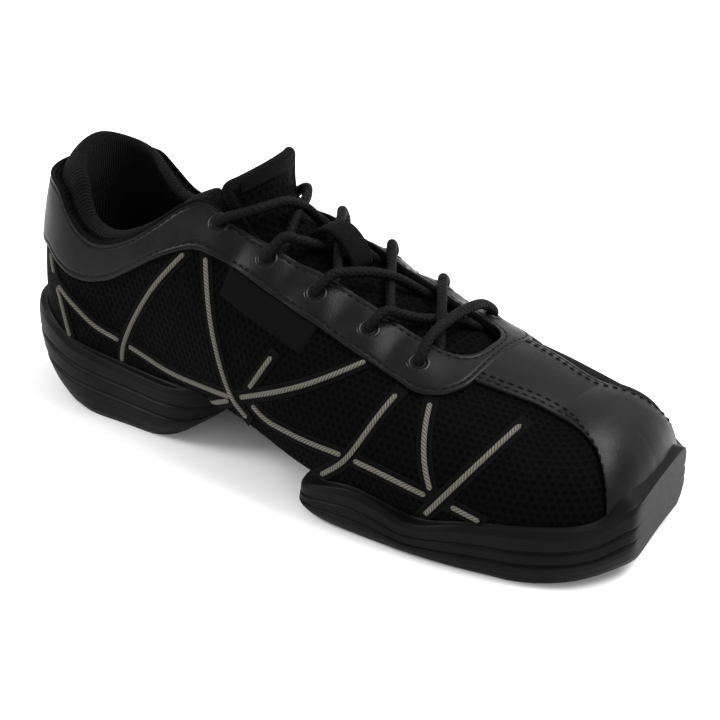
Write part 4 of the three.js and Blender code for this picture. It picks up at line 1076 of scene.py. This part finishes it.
def sole_lip(rim):
    """Rows from the rim in to the upper and down beside it, at shares of the way to the last.

    Where the platform stands out from the toe, the rows swell upwards.
    """
    x, y, z = rim[:, 0], rim[:, 1], rim[:, 2]
    sign = np.where(y > 0, MEDIAL, LATERAL)
    heel_fan = -np.arctan2(HEEL_AXIS - x, np.abs(y)) / (math.pi / 2)
    toe_fan = 1 + np.arctan2(x - along_x(1), np.abs(y)) / (math.pi / 2)
    turn = np.where(x < HEEL_AXIS, heel_fan, np.where(x > along_x(1), toe_fan, share_x(x)))
    wall = wall_point(turn, sign, z, CLEARANCE)
    ledge = np.linalg.norm((rim - wall)[:, :2], axis=-1)
    swell = 0.4 * np.clip(ledge - RIM, 0, 8) * np.clip((x - along_x(1)) / 12, 0, 1)
    rows = []
    for share, rise in ((0.1, 0.25), (0.3, 0.5), (0.6, 0.7), (0.9, 1.1), (1.02, 1.4), (1.1, -3.0)):
        height = z + rise + swell * min(share, 1.0) ** 1.5
        wall = wall_point(turn, sign, height, CLEARANCE)
        row = rim * (1, 1, 0) * (1 - share) + wall * (1, 1, 0) * share
        rows.append(row + height[:, None] * (0, 0, 1))
    return np.stack(rows)


def sole_skin(ring, profile, channels, spot=None):
    """Closed skin of a unit: ground face from its middle out, grooved side, and a lip turned in at the rim.

    The ground face shrinks the lowest ring evenly to its middle. The lip runs in at the rim's height and then
    down beside the upper.
    """
    level, rows = profile
    side = ring(level, **rows)
    middle = side[0].mean(0)
    share = np.linspace(0, 1, 56)[:-1, None, None]
    ground = tread(middle + (side[0] - middle) * share, channels, spot)
    points = np.concatenate([ground, side, sole_lip(side[-1])])
    return points, points[..., :2]


class SNEAKER_OT_soles(bpy.types.Operator):
    """Heel and forefoot units: grooved sides, rims, flat toe face and tread"""

    bl_idname = "sneaker.soles"
    bl_label = "Soles"

    def execute(self, context):
        half = float(reach(0.0, LATERAL)) - 2 * RIM
        channels = [(REST_AT + dx, half) for dx in HEEL_CHANNELS]
        heel = sole_skin(
            lambda level, **rows: heel_ring(level, columns=90, **rows),
            soft_profile(HEEL_SIDE, 90),
            channels,
        )
        piece = grids_piece("heel_unit", [heel], "sole foam")
        dress(piece, "sole_rubber", "sole_heel")
        spot = along_x(SPOT_AT)
        channels = [(spot + dx, HALF_BALL - 4 * RIM) for dx in FOREFOOT_CHANNELS]
        forefoot = sole_skin(
            lambda level, **rows: forefoot_ring(level, columns=34, **rows),
            soft_profile(FOREFOOT_SIDE, 80),
            channels,
            spot,
        )
        piece = grids_piece("forefoot_unit", [forefoot], "sole foam")
        dress(piece, "sole_rubber", "sole_forefoot")
        return {"FINISHED"}


class SNEAKER_OT_insole(bpy.types.Operator):
    """Insole: a soft sheet over the floor of the shoe with a rounded edge"""

    bl_idname = "sneaker.insole"
    bl_label = "Insole"

    def execute(self, context):
        turn = side_turns(step=2.5)
        low = foot(turn) + UPPER_WALL + 2 * CLEARANCE
        edge = np.linspace(math.pi / 2, -math.pi / 2, 9)
        share = np.concatenate([np.linspace(0, 0.96, 16), np.ones(9), np.linspace(0.96, 0, 6)])
        height = np.concatenate([np.full(16, 1.0), 0.5 + 0.5 * np.sin(edge), np.zeros(6)])
        inset = np.concatenate([np.full(16, 0.0), np.cos(edge), np.zeros(6)]) - 1.0

        def half_sheet(side):
            z = low[None] + INSOLE_THICKNESS * height[:, None]
            rim = wall_point(turn[None], side, z, -UPPER_WALL - CLEARANCE)
            x, forward, out = stand(turn, side)
            spine = np.stack([x, 0 * x, 0 * x], -1)[None]
            way = np.stack([forward, out, 0 * x], -1)[None]
            level = rim * (1, 1, 0)
            points = spine + (level - spine) * share[:, None, None]
            points += way * (inset * 1.2 * share)[:, None, None]
            points[..., 2] = z
            return points, points[..., :2]

        piece = two_sides("insole_sheet", half_sheet, finish("insole cloth"), with_uv=True)
        dress(piece, "insole_cloth", "insole")
        return {"FINISHED"}


# Collar


def lining_section(turn, side):
    """Ten controls of the lining's section at each turn: up the leather, over the roll and down inside."""
    x = wall_point(turn, side, INSTEP * 0.8)[..., 0]
    top = INSTEP * tabled(TOPLINE, "height", share_x(x))
    back = np.clip(-turn, 0, 1)
    rise = ROLL_SIDE + (ROLL_PEAK - ROLL_SIDE) * back * back * (3 - 2 * back)
    foot_z, half_z = top - ROLL_DEPTH, top - 0.5 * ROLL_DEPTH
    outer = [foot_z, half_z, top - 1, top + 0.6 * rise, top + rise]
    inner = [top + rise, top + 0.6 * rise - 1, top - 0.2 * ROLL_DEPTH, half_z, foot_z]
    inward = np.array([0, 0, 0, 0.1, 0.35, 0.65, 0.95, 1, 0.6, 0.25]) * ROLL_THICKNESS
    _, forward, out = stand(turn, side)
    way = np.stack([forward, out, 0 * out], -1)
    gap = -UPPER_WALL - 2 * CLEARANCE
    rows = [wall_point(turn, side, z, gap) - way * inset for z, inset in zip(outer + inner, inward)]
    return np.stack(rows)


def closed_weights(count, controls):
    """Weights of a closed uniform cubic B-spline blended half way to its interpolating twin."""
    t = np.linspace(0, controls, count + 1)
    i = np.floor(t).astype(int)
    s = t - i
    ends = (-s + 2 * s**2 - s**3, s**3 - s**2)
    middles = (2 - 5 * s**2 + 3 * s**3, s + 4 * s**2 - 3 * s**3)
    basis = np.stack([ends[0], *middles, ends[1]], 1) / 2
    weights = np.zeros((count + 1, controls))
    for n in range(4):
        np.add.at(weights, (np.arange(count + 1), (i - 1 + n) % controls), basis[:, n])
    return weights


class SNEAKER_OT_lining(bpy.types.Operator):
    """Collar lining: a padded ribbed roll round the opening with its flap inside, and the edge binding"""

    bl_idname = "sneaker.lining"
    bl_label = "Collar lining"

    def execute(self, context):
        lateral = np.concatenate([np.linspace(LINING_FRONT, 0, 46), np.linspace(0, -1, 60)[1:]])
        controls = np.concatenate([
            lining_section(lateral, LATERAL),
            lining_section(lateral[:-1], MEDIAL)[:, ::-1],
        ], 1)
        weights = closed_weights(84, 10)
        points = np.einsum("rk,kcd->crd", weights, controls)
        middle = points[:, :-1].mean(1, keepdims=True)
        run = run_length(middle[:, 0])
        near = np.clip(np.minimum(run, run[-1] - run) / 5.0, 0, 1)
        narrow = np.sqrt(np.clip(1 - (1 - near) ** 2, 0.0001, 1))
        points = middle + (points - middle) * narrow[:, None, None]
        round_it = run_length(points, 1)
        uv = np.stack([np.broadcast_to(run[:, None], round_it.shape), round_it], -1)
        lining = grids_piece("collar_roll", [(points, uv)], "lining knit")
        dress(lining, "lining_knit", "collar_lining")
        bindings = []
        for side in SIDES:
            turn = np.concatenate([np.linspace(-1, 0, 70), np.linspace(0, BINDING_FRONT, 90)[1:]])
            lift = top_lift(turn, side)
            path = last_point(turn, side, lift, CLEARANCE + 0.5 * BAND_THICKNESS)
            path = smooth_path(path[::4], 1.0)
            bindings.append(tube_grid(path, TOPLINE_BINDING / 2, 8, (0, 0, 1), round_ends=False))
        binding = grids_piece("topline_binding", bindings, "plain satin")
        dress(binding, "leather")
        return {"FINISHED"}


# Tongue


def tongue_point(t, across, out, half=None):
    """Point over the tongue: t from 0 at its foot to 1 at its top, out from its face, across from -1 to 1."""
    row = np.asarray(t, float) * 10
    value = {name: tabled(TONGUE, name, row) for name in TONGUE if name != "row"}
    level = -UPPER_WALL - TONGUE_GAP
    rise = TONGUE_TOP - top_height(along_x(TONGUE["along"][-1]), 0.0, level)
    x = along_x(value["along"])
    tilt = np.radians(value["tilt"])
    y = across * (TONGUE_HALF * value["half"] if half is None else half) + TONGUE_SHIFT * value["lift"]
    at = np.maximum(x, along_x(TONGUE_ARCHED))
    arch = top_height(at, 0.0 * y + 0.001, level) - top_height(at, np.abs(y) + 0.001, level)
    drop = arch * (1 - value["flat"])
    z = top_height(x, 0.0 * y, level) + rise * value["lift"] + TONGUE_ROLL * y * value["lift"]
    off = out - drop
    x, y, z = np.broadcast_arrays(x + np.sin(tilt) * off, y, z + np.cos(tilt) * off)
    return np.stack([x, y, z], -1)


def sheet_on_tongue(t, across, low, high, half=None, rows_round=7, lift=0.0):
    """Closed sheet over the tongue between two distances from its face, with half round edges.

    The section is a loop: over the top, round one edge, back underneath and round the other edge.
    """
    thick = high - low
    middle = (low + high) / 2 + lift
    turn = np.linspace(math.pi / 2, -math.pi / 2, rows_round)
    flat = np.ones(len(across))
    edges = [np.full(rows_round, across[end]) for end in (-1, 0)]
    loop_across = np.concatenate([across, edges[0], across[::-1], edges[1], across[:1]])
    loop_out = np.concatenate([flat, np.sin(turn), -flat, -np.sin(turn), [1.0]])
    bulge = np.concatenate([0 * flat, np.cos(turn), 0 * flat, -np.cos(turn), [0.0]])
    run = run_length(tongue_point(t, 0.0, 0.0))
    near = np.clip(np.minimum(run, run[-1] - run) / (thick / 2), 0, 1)
    swell = np.sqrt(np.clip(1 - (1 - near) ** 2, 0.0001, 1))[:, None]
    wide = TONGUE_HALF * tabled(TONGUE, "half", np.asarray(t) * 10)[:, None] if half is None else half
    shift = bulge[None] * thick / 2 * swell / wide
    middle = np.broadcast_to(middle, (len(t),))[:, None]
    out = middle + loop_out * thick / 2 * swell
    points = tongue_point(np.asarray(t)[:, None], loop_across[None] + shift, out, half)
    uv = np.stack(np.broadcast_arrays(loop_across[None] * wide, run[:, None]), -1)
    return points, uv


def tongue_place(x):
    """Place t on the tongue's path for a place along the shoe, in front of where it rises."""
    t = np.linspace(0, 0.6, 200)
    return float(np.interp(-x, -along_x(tabled(TONGUE, "along", t * 10)), t))


class SNEAKER_OT_tongue(bpy.types.Operator):
    """Padded mesh tongue with its bound edge, its plain patch and the tape that keeps the laces"""

    bl_idname = "sneaker.tongue"
    bl_label = "Tongue"

    def execute(self, context):
        t = np.concatenate([np.linspace(0, 0.5, 60)[:-1], np.linspace(0.5, 1, 110)])
        across = np.sin(np.linspace(-math.pi / 2, math.pi / 2, 41))
        sheet = sheet_on_tongue(t, across, -TONGUE_THICKNESS, 0.0)
        tongue = grids_piece("tongue_pad", [sheet], "tongue mesh")
        dress(tongue, "mesh", "tongue")
        rim = np.linspace(*TONGUE_BOUND, 60)
        middle = -TONGUE_THICKNESS / 2
        edge = TONGUE_BOUND[1]
        up = tongue_point(rim, -edge, middle)
        over = tongue_point(edge, np.linspace(-edge, edge, 30)[1:-1], middle)
        down = tongue_point(rim[::-1], edge, middle)
        path = smooth_path(np.concatenate([up, over, down])[::3], 0.9)
        tube = tube_grid(path, TONGUE_BINDING / 2, 12, (1.0, 0.0, 0.6))
        binding = grids_piece("tongue_binding", [tube], "tape")
        dress(binding, "satin")
        t = np.linspace(*TONGUE_PATCH, 14)
        patch = sheet_on_tongue(t, np.linspace(-1, 1, 25), 0.25, 1.0, TONGUE_PATCH_HALF)
        patch = grids_piece("tongue_patch", [patch], "plain satin")
        dress(patch, "satin", "tongue_label")
        ends = (tongue_place(KEEPER_AT + KEEPER_LENGTH / 2), tongue_place(KEEPER_AT - KEEPER_LENGTH / 2))
        t = np.linspace(*ends, 40)
        reach_up = UPPER_WALL + TONGUE_GAP + 0.3 + 1.5 * sizes().lace_diameter + CLEARANCE
        arch = reach_up * np.sqrt(np.clip(np.sin(np.linspace(0, math.pi, 40)), 0, 1))
        keeper = sheet_on_tongue(t, np.linspace(-1, 1, 9), 0.1, 0.1 + KEEPER_THICKNESS, KEEPER_HALF, 5, arch)
        keeper = grids_piece("keeper_tape", [keeper], "tape")
        dress(keeper, "satin", "lace_keeper")
        return {"FINISHED"}


# Patch and piping on the side


class SNEAKER_OT_side_patch(bpy.types.Operator):
    """Plain satin patch on the outer side"""

    bl_idname = "sneaker.side_patch"
    bl_label = "Side patch"

    def execute(self, context):
        u, v = np.meshgrid(np.linspace(0, 1, 50), np.linspace(0, 1, 16), indexing="ij")
        along = PATCH_TOP[0] * (1 - u) + PATCH_TOP[1] * u
        top = np.stack([along, tabled(BAND_EDGE, "height", along) + 0.3 / INSTEP], -1)
        rear, front = np.array(PATCH_LOW)
        low = rear * (1 - u[..., None]) + front * u[..., None]
        place = top * (1 - v[..., None]) + low * v[..., None]
        x, z = along_x(place[..., 0]), INSTEP * place[..., 1]
        turn = share_x(x)
        du, dv = (np.minimum(w, 1 - w) * length for w, length in zip((u, v), PATCH_LAYOUT))
        rise = np.sqrt(np.clip(1 - (1 - np.clip(np.minimum(du, dv) / 0.5, 0, 1)) ** 2, 0, 1))
        normal = wall_normal(turn, LATERAL, z)
        points = wall_point(turn, LATERAL, z) + normal * (PATCH_THICKNESS * rise)[..., None]
        uv = np.stack([u, v], -1) * PATCH_LAYOUT
        patch = grids_piece("side_patch", [(points[:, ::-1], uv[:, ::-1])], "plain satin")
        dress(patch, "satin", "side_label")
        return {"FINISHED"}


def piping_path(turns, heights, side):
    """Points and normals of one line of piping, cut where the leather or a rim covers it."""
    turns = np.array(turns)
    unrolled = turns * np.where(turns < 0, HEEL_ARC, BODY)
    flat = smooth_path(np.stack([unrolled, np.array(heights) * INSTEP, 0 * turns], 1), 0.5)
    turn, z = flat[:, 0] / np.where(flat[:, 0] < 0, HEEL_ARC, BODY), flat[:, 1]
    place = wall_point(turn, side, z)
    x = place[:, 0]
    low = np.where(x < WAIST_MIDDLE, rim_height(x, "heel"), rim_height(x, "forefoot"))
    low = np.where((x > WAIST[0]) & (x < WAIST[1]), foot(share_x(x)) + 3.0, low)
    high = INSTEP * tabled(BAND_EDGE, "height", share_x(x))
    high = np.where(share_x(x) > EYESTAY_END, 2 * INSTEP, high)
    free = (z < high + 1.0) & (z > low - 1.0) & ((side < 0) | (turn < MEDIAL_PIPING_END))
    return place[free], wall_normal(turn, side, z)[free]


def ribbon(place, normal, half, top):
    """Raised ribbon along a path: its section rises as a quarter circle from each edge."""
    ahead = np.gradient(place, axis=0)
    ahead /= np.linalg.norm(ahead, axis=-1, keepdims=True)
    across = np.cross(ahead, normal)
    inset = TAPE_EDGE * np.linspace(0, 1, 5) ** 2
    s = np.concatenate([inset - 1, [0], 1 - inset[::-1]])
    past = np.clip(np.abs(s) - (1 - TAPE_EDGE), 0, 1)
    height = top * np.sqrt(np.clip(1 - (past / TAPE_EDGE) ** 2, 0, 1))
    level = place[:, None] + across[:, None] * (half * s)[None, :, None]
    points = level + normal[:, None] * height[None, :, None]
    run = run_length(place)
    return points, np.stack(np.broadcast_arrays(run[:, None], (half * s)[None]), -1)


class SNEAKER_OT_piping(bpy.types.Operator):
    """Piping: silver cord on dark tape in a net over each side"""

    bl_idname = "sneaker.piping"
    bl_label = "Piping"

    def execute(self, context):
        size = sizes()
        for side, word in ((LATERAL, "lateral"), (MEDIAL, "medial")):
            tapes, cords = [], []
            for index, (turns, heights) in enumerate(PIPING):
                place, normal = piping_path(turns, heights, side)
                if len(place) < 12:
                    continue
                layer = 0.08 * (index % 3)
                points, uv = ribbon(place[::2], normal[::2], size.tape_width / 2, 0.32 + layer)
                flip = slice(None, None, -1) if side > 0 else slice(None)
                tapes.append((points[:, flip], uv[:, flip]))
                run = run_length(place)
                inner = (run > 2.2) & (run < run[-1] - 2.2)
                path = (place + normal * (0.5 + layer))[inner]
                cords.append(tube_grid(path, size.cord_width / 2, 12, normal[inner], 0.7))
            tape = grids_piece("tape_" + word, tapes, "plain satin")
            dress(tape, "satin", "piping_" + word)
            cord = grids_piece("cord_" + word, cords, "silver cord")
            dress(cord, "piping_cord")
        return {"FINISHED"}


# Eyelets, laces and stitches


def eyelet_frame(row, side):
    """Place and outward direction on the leather at an eyelet."""
    x, y = (values[row] for values in eyelet_places(side))
    skin = CLEARANCE + BAND_THICKNESS

    def at(dx, dy):
        return np.array([x + dx, y + dy, float(top_height(x + dx, y + dy, skin))])

    n = np.cross(at(1, 0) - at(-1, 0), at(0, 1) - at(0, -1))
    n /= np.linalg.norm(n)
    return at(0, 0) - 0.35 * n, n


class SNEAKER_OT_eyelets(bpy.types.Operator):
    """Ten enamelled eyelets: rings with a rolled flange"""

    bl_idname = "sneaker.eyelets"
    bl_label = "Eyelets"

    def execute(self, context):
        outer, bore, tall = EYELET_OUTER / 2, EYELET_BORE / 2, EYELET_HEIGHT
        roll = np.linspace(0, math.pi, 12)
        middle, arm = (outer + bore) / 2, (outer - bore) / 2
        radius = np.concatenate([[bore + 0.05, bore], middle - arm * np.cos(roll), [outer]])
        height = np.concatenate([[-2.5, 0.3], 0.3 + (tall - 0.3) * np.sin(roll) ** 0.8, [-0.6]])
        angle = np.linspace(0, 2 * math.pi, 41)
        grids = []
        for side in SIDES:
            for row in range(5):
                place, n = eyelet_frame(row, side)
                one = np.cross(n, (0, 1, 0))
                one /= np.linalg.norm(one)
                two = np.cross(n, one)
                ring = np.cos(angle)[:, None] * one + np.sin(angle)[:, None] * two
                points = place + ring[None] * radius[:, None, None] + n * height[:, None, None]
                uv = np.stack(np.broadcast_arrays(radius[:, None], angle[None]), -1)
                grids.append((points, uv))
        names = [f"eyelet_{word}_{i}" for word in ("lateral", "medial") for i in range(1, 6)]
        piece = grids_piece("eyelet_rings", grids, "black enamel")
        dress(piece, "eyelet_enamel", *names)
        return {"FINISHED"}


def over_last(x, y, lift):
    """Point over the last's top, lifted square to its slope across the shoe."""
    slope = (top_height(x, y + 0.5) - top_height(x, y - 0.5)) ** 2
    return np.array([x, y, float(top_height(x, y) + lift * math.sqrt(1 + float(slope)))])


def strand(row, side, middle_lift):
    """Controls from above an eyelet over the throat, down beside its edge and up to below the next eyelet."""
    diameter = sizes().lace_diameter
    place, n = eyelet_frame(row, side)
    target, below = eyelet_frame(row + 1, -side)
    start_y, end_y = place[1], -side * (THROAT_HALF - diameter)
    inward = np.array([0.12, -side * 0.99, 0.0])
    controls = [place + 0.3 * n, place + 2.4 * n + 1.1 * inward]
    skin = CLEARANCE + BAND_THICKNESS + EYELET_HEIGHT + diameter / 2
    under = -UPPER_WALL - TONGUE_GAP + diameter / 2
    rows = (
        (0.16, skin + 0.9),
        (0.3, (skin + middle_lift) / 2 + 0.6),
        (0.5, middle_lift),
        (0.74, middle_lift * 0.5),
        (0.9, under + 0.8),
        (1.0, under - 0.6),
    )
    for s, lift in rows:
        forward = s + BOW[row] * math.sin(math.pi * math.sqrt(s))
        x = place[0] + (target[0] - place[0]) * forward
        controls.append(over_last(x, start_y + (end_y - start_y) * s, lift))
    controls.append(over_last(target[0], -side * (THROAT_HALF + 3.0), -UPPER_WALL - diameter / 2 - 0.4))
    controls.append(target - 4.9 * below + 0.8 * np.array([0, side, 0]))
    controls.append(target - 2.2 * below)
    return controls


def lace_controls():
    """The whole lace: from under one top eyelet down to the bar, over it and back up to the other."""
    diameter = sizes().lace_diameter
    under_lift = 0.3
    over_lift = under_lift + diameter + 0.1
    chains = []
    for first, lift in ((LATERAL, over_lift), (MEDIAL, under_lift)):
        place, n = eyelet_frame(0, first)
        chain = [place - 5.2 * n + np.array([5.0, first * 3.0, -2.0]), place - 4.6 * n, place - 2.2 * n]
        side = first
        for row in range(4):
            chain += strand(row, side, lift + HUMP[row] * diameter)
            side = -side
        chains.append(chain)
    a, n_a = eyelet_frame(4, LATERAL)
    b, n_b = eyelet_frame(4, MEDIAL)
    skin = CLEARANCE + BAND_THICKNESS + EYELET_HEIGHT + diameter / 2
    x = (a[0] + b[0]) / 2
    bar = [
        a + 0.3 * n_a,
        a + 2.4 * n_a + (0, 1.1, 0),
        over_last(x, a[1] + 6, skin + 0.8),
        over_last(x, -8.0, over_lift + 1.6),
        over_last(x, 8.0, over_lift + 1.6),
        over_last(x, b[1] - 6, skin + 0.8),
        b + 2.4 * n_b - (0, 1.1, 0),
        b + 0.3 * n_b,
    ]
    return chains[0] + bar + chains[1][::-1]


class SNEAKER_OT_laces(bpy.types.Operator):
    """One round braided lace threaded through the eyelets"""

    bl_idname = "sneaker.laces"
    bl_label = "Laces"

    def execute(self, context):
        path = smooth_path(lace_controls(), 0.7)
        grid = tube_grid(path, sizes().lace_diameter / 2, 16, (1.0, 0.0, 0.0))
        lace = grids_piece("lace", [grid], "lace cord")
        dress(lace, "lace_cord", "lace_bar", "lace_cross_1", "lace_cross_2", "lace_cross_3", "lace_cross_4")
        return {"FINISHED"}


def stitch_row(line, normal, thick=0.75):
    """Even stitches along a line: each a capsule half sunk in the surface."""
    size = sizes()
    run = run_length(line)
    count = int(run[-1] / size.stitch_pitch)
    at = (np.arange(count) + 0.5) * run[-1] / count

    def pick(values, where):
        return np.stack([np.interp(where, run, values[:, k]) for k in range(3)], 1)

    rings, sides = 9, 7
    middle, n = pick(line, at), pick(normal, at)
    ahead = pick(line, at + 0.6) - pick(line, at - 0.6)
    ahead /= np.linalg.norm(ahead, axis=-1, keepdims=True)
    across = np.cross(n, ahead)
    s = np.linspace(-1, 1, rings)
    width = np.sqrt(np.clip(1 - np.abs(s) ** 3, 0.0, 1)) * thick / 2
    angle = np.linspace(0, 2 * math.pi, sides)
    out = width[:, None] * np.sin(angle) + 0.12 - 0.35 * s[:, None] ** 2 * thick
    points = (
        middle[:, None, None]
        + ahead[:, None, None] * (s * size.stitch_length / 2)[None, :, None, None]
        + across[:, None, None] * (width[:, None] * np.cos(angle))[None, :, :, None]
        + n[:, None, None] * out[None, :, :, None]
    )
    starts = rings * sides * np.arange(count)
    faces = (grid_faces(rings, sides)[None] + starts[:, None, None]).reshape(-1, 4)
    uv = np.stack(np.meshgrid(s * size.stitch_length, angle / (2 * math.pi), indexing="ij"), -1)
    uv = np.broadcast_to(uv, (count, rings, sides, 2))
    return points.reshape(-1, 3), faces, uv.reshape(-1, 2)


class SNEAKER_OT_stitches(bpy.types.Operator):
    """Stitches round the collar leather, the throat and the toe strip"""

    bl_idname = "sneaker.stitches"
    bl_label = "Stitches"

    def execute(self, context):
        points, faces, uvs, start = [], [], [], 0
        for side in SIDES:
            band = raised(side, *band_lines(side), BAND_THICKNESS, 26, pull=True)
            toe = toe_strip(side)
            lines = []
            for grid, rows in ((band, (STITCH_ROW, -1 - STITCH_ROW)), (toe, (STITCH_ROW, STITCH_ROW + 4))):
                n = normals_of(grid) * -side
                n *= np.sign(n[..., 2:] + 0.2)
                lines += [(grid[row], n[row]) for row in rows]
            lines[2:] = [(line[:TOE_STITCHED], n[:TOE_STITCHED]) for line, n in lines[2:]]
            for line, normal in lines:
                p, f, uv = stitch_row(line, normal)
                points.append(p)
                faces.append(f + start)
                uvs.append(uv)
                start += len(p)
        points, faces, uvs = (np.concatenate(parts) for parts in (points, faces, uvs))
        piece = mesh_piece("stitches", points, faces, finish("thread"), uvs)
        dress(piece, "leather")
        return {"FINISHED"}


class SNEAKER_OT_stage(bpy.types.Operator):
    """Floor, lights and camera"""

    bl_idname = "sneaker.stage"
    bl_label = "Stage"

    def execute(self, context):
        studio_floor()
        studio_lights()
        photo_camera()
        context.scene.view_settings.view_transform = "Standard"
        return {"FINISHED"}


def studio_floor():
    """Paper that runs back from the front and curves up into a wall: a level, a quarter circle and a rise."""
    back, bend, wall = 1.6, 0.8, 2.4
    run = np.concatenate([np.linspace(-3.0, back, 24), np.full(16, back), np.full(8, back + bend)])
    turn = np.linspace(0, math.pi / 2, 16)
    up = np.zeros(48)
    run[24:40] = back + bend * np.sin(turn)
    up[24:40] = bend * (1 - np.cos(turn))
    up[40:] = bend + np.linspace(0, wall, 8)
    # the run leads away from the camera
    away = np.array([-math.sin(CAMERA_TURN), math.cos(CAMERA_TURN)])
    beside = np.array([away[1], -away[0]])
    width = np.linspace(-3.2, 3.2, 9)
    level = run[:, None, None] * away + width[None, :, None] * beside
    points = np.concatenate([level, np.broadcast_to(up[:, None, None], (*level.shape[:2], 1))], -1)
    points = points / MM + (REST_AT, 0, 0)
    faces = grid_faces(*points.shape[:2])[:, ::-1]
    floor = mesh_piece("studio_floor", points, faces, finish("studio paper"), on_shoe=False)


def area_light(name, place, size, power, aim=(0.08, 0.0, 0.05)):
    data = bpy.data.lights.new(name, "AREA")
    data.shape = "RECTANGLE"
    data.size, data.size_y = size
    data.energy = power
    light = bpy.data.objects.new(name, data)
    light.location = place
    light.rotation_euler = (Vector(aim) - Vector(place)).to_track_quat("-Z", "Y").to_euler()
    bpy.context.scene.collection.objects.link(light)


def studio_lights():
    """A broad soft box overhead, one from the left and a weak one in front, in a pale room."""
    area_light("overhead", (0.75, 0.5, 1.3), (1.1, 0.9), 36)
    area_light("left", (-1.0, -0.6, 0.9), (0.6, 0.6), 15)
    area_light("front", (1.2, -0.9, 0.6), (0.5, 0.5), 4)
    world = bpy.data.worlds.new("pale room")
    world.use_nodes = True
    background = world.node_tree.nodes["Background"]
    background.inputs["Color"].default_value = (1.0, 1.0, 1.0, 1)
    background.inputs["Strength"].default_value = 0.8
    bpy.context.scene.world = world


# Camera: the photograph's place and direction, closer in on the one shoe
CAMERA_TURN = math.radians(30.22)
CAMERA_RISE = math.radians(24.77)
CAMERA_AWAY = 499.9
CAMERA_AIM = (175.1, 0.0, 45.5)
PHOTO_LENS = 44.9
PHOTO_ZOOM = 1.62
PHOTO_SIZE = 720
SENSOR = 36
SHOE_IN_PHOTO = (305.0, 362.0)


def photo_camera():
    """The photograph's camera, turned to the middle of the shoe and zoomed until it fills the frame."""
    out = np.array([
        math.sin(CAMERA_TURN) * math.cos(CAMERA_RISE),
        -math.cos(CAMERA_TURN) * math.cos(CAMERA_RISE),
        math.sin(CAMERA_RISE),
    ])
    place = (np.array(CAMERA_AIM) - (REST_AT, 0, 0) + CAMERA_AWAY * out) * MM
    ahead = -out
    right = np.cross(ahead, (0, 0, 1))
    right /= np.linalg.norm(right)
    up = np.cross(right, ahead)
    scale = PHOTO_LENS / SENSOR * PHOTO_SIZE
    right_of, under = (at - PHOTO_SIZE / 2 for at in SHOE_IN_PHOTO)
    aim = ahead + right * right_of / scale - up * under / scale
    data = bpy.data.cameras.new("photo camera")
    data.lens = PHOTO_LENS * PHOTO_ZOOM
    data.sensor_width = SENSOR
    data.clip_start = 0.01
    camera = bpy.data.objects.new("photo camera", data)
    camera.location = place
    camera.rotation_euler = Vector(aim).to_track_quat("-Z", "Y").to_euler()
    bpy.context.scene.collection.objects.link(camera)
    bpy.context.scene.camera = camera


class SNEAKER_PT_panel(bpy.types.Panel):
    """Lists the pieces and their settings"""

    bl_idname = "SNEAKER_PT_panel"
    bl_label = "Dance sneaker"
    bl_space_type = "VIEW_3D"
    bl_region_type = "UI"
    bl_category = "Sneaker"

    def draw(self, context):
        for operator in OPERATORS:
            self.layout.operator(operator.bl_idname)
        for group in (context.scene.sneaker_sizes, context.scene.sneaker_colours):
            box = self.layout.box()
            for name in group.__annotations__:
                box.prop(group, name)


OPERATORS = (
    SNEAKER_OT_upper, SNEAKER_OT_leathers, SNEAKER_OT_soles, SNEAKER_OT_insole,
    SNEAKER_OT_lining, SNEAKER_OT_tongue, SNEAKER_OT_side_patch, SNEAKER_OT_piping,
    SNEAKER_OT_eyelets, SNEAKER_OT_laces, SNEAKER_OT_stitches, SNEAKER_OT_stage,
)
CLASSES = (SneakerSizes, SneakerColours, *OPERATORS, SNEAKER_PT_panel)


def register():
    for cls in CLASSES:
        bpy.utils.register_class(cls)
    bpy.types.Scene.sneaker_sizes = bpy.props.PointerProperty(type=SneakerSizes)
    bpy.types.Scene.sneaker_colours = bpy.props.PointerProperty(type=SneakerColours)


def unregister():
    del bpy.types.Scene.sneaker_colours
    del bpy.types.Scene.sneaker_sizes
    for cls in reversed(CLASSES):
        bpy.utils.unregister_class(cls)


def main():
    register()
    bpy.ops.sneaker.upper()
    bpy.ops.sneaker.leathers()
    bpy.ops.sneaker.soles()
    bpy.ops.sneaker.insole()
    bpy.ops.sneaker.lining()
    bpy.ops.sneaker.tongue()
    bpy.ops.sneaker.side_patch()
    bpy.ops.sneaker.piping()
    bpy.ops.sneaker.eyelets()
    bpy.ops.sneaker.laces()
    bpy.ops.sneaker.stitches()
    bpy.ops.sneaker.stage()


if __name__ == "__main__":
    main()
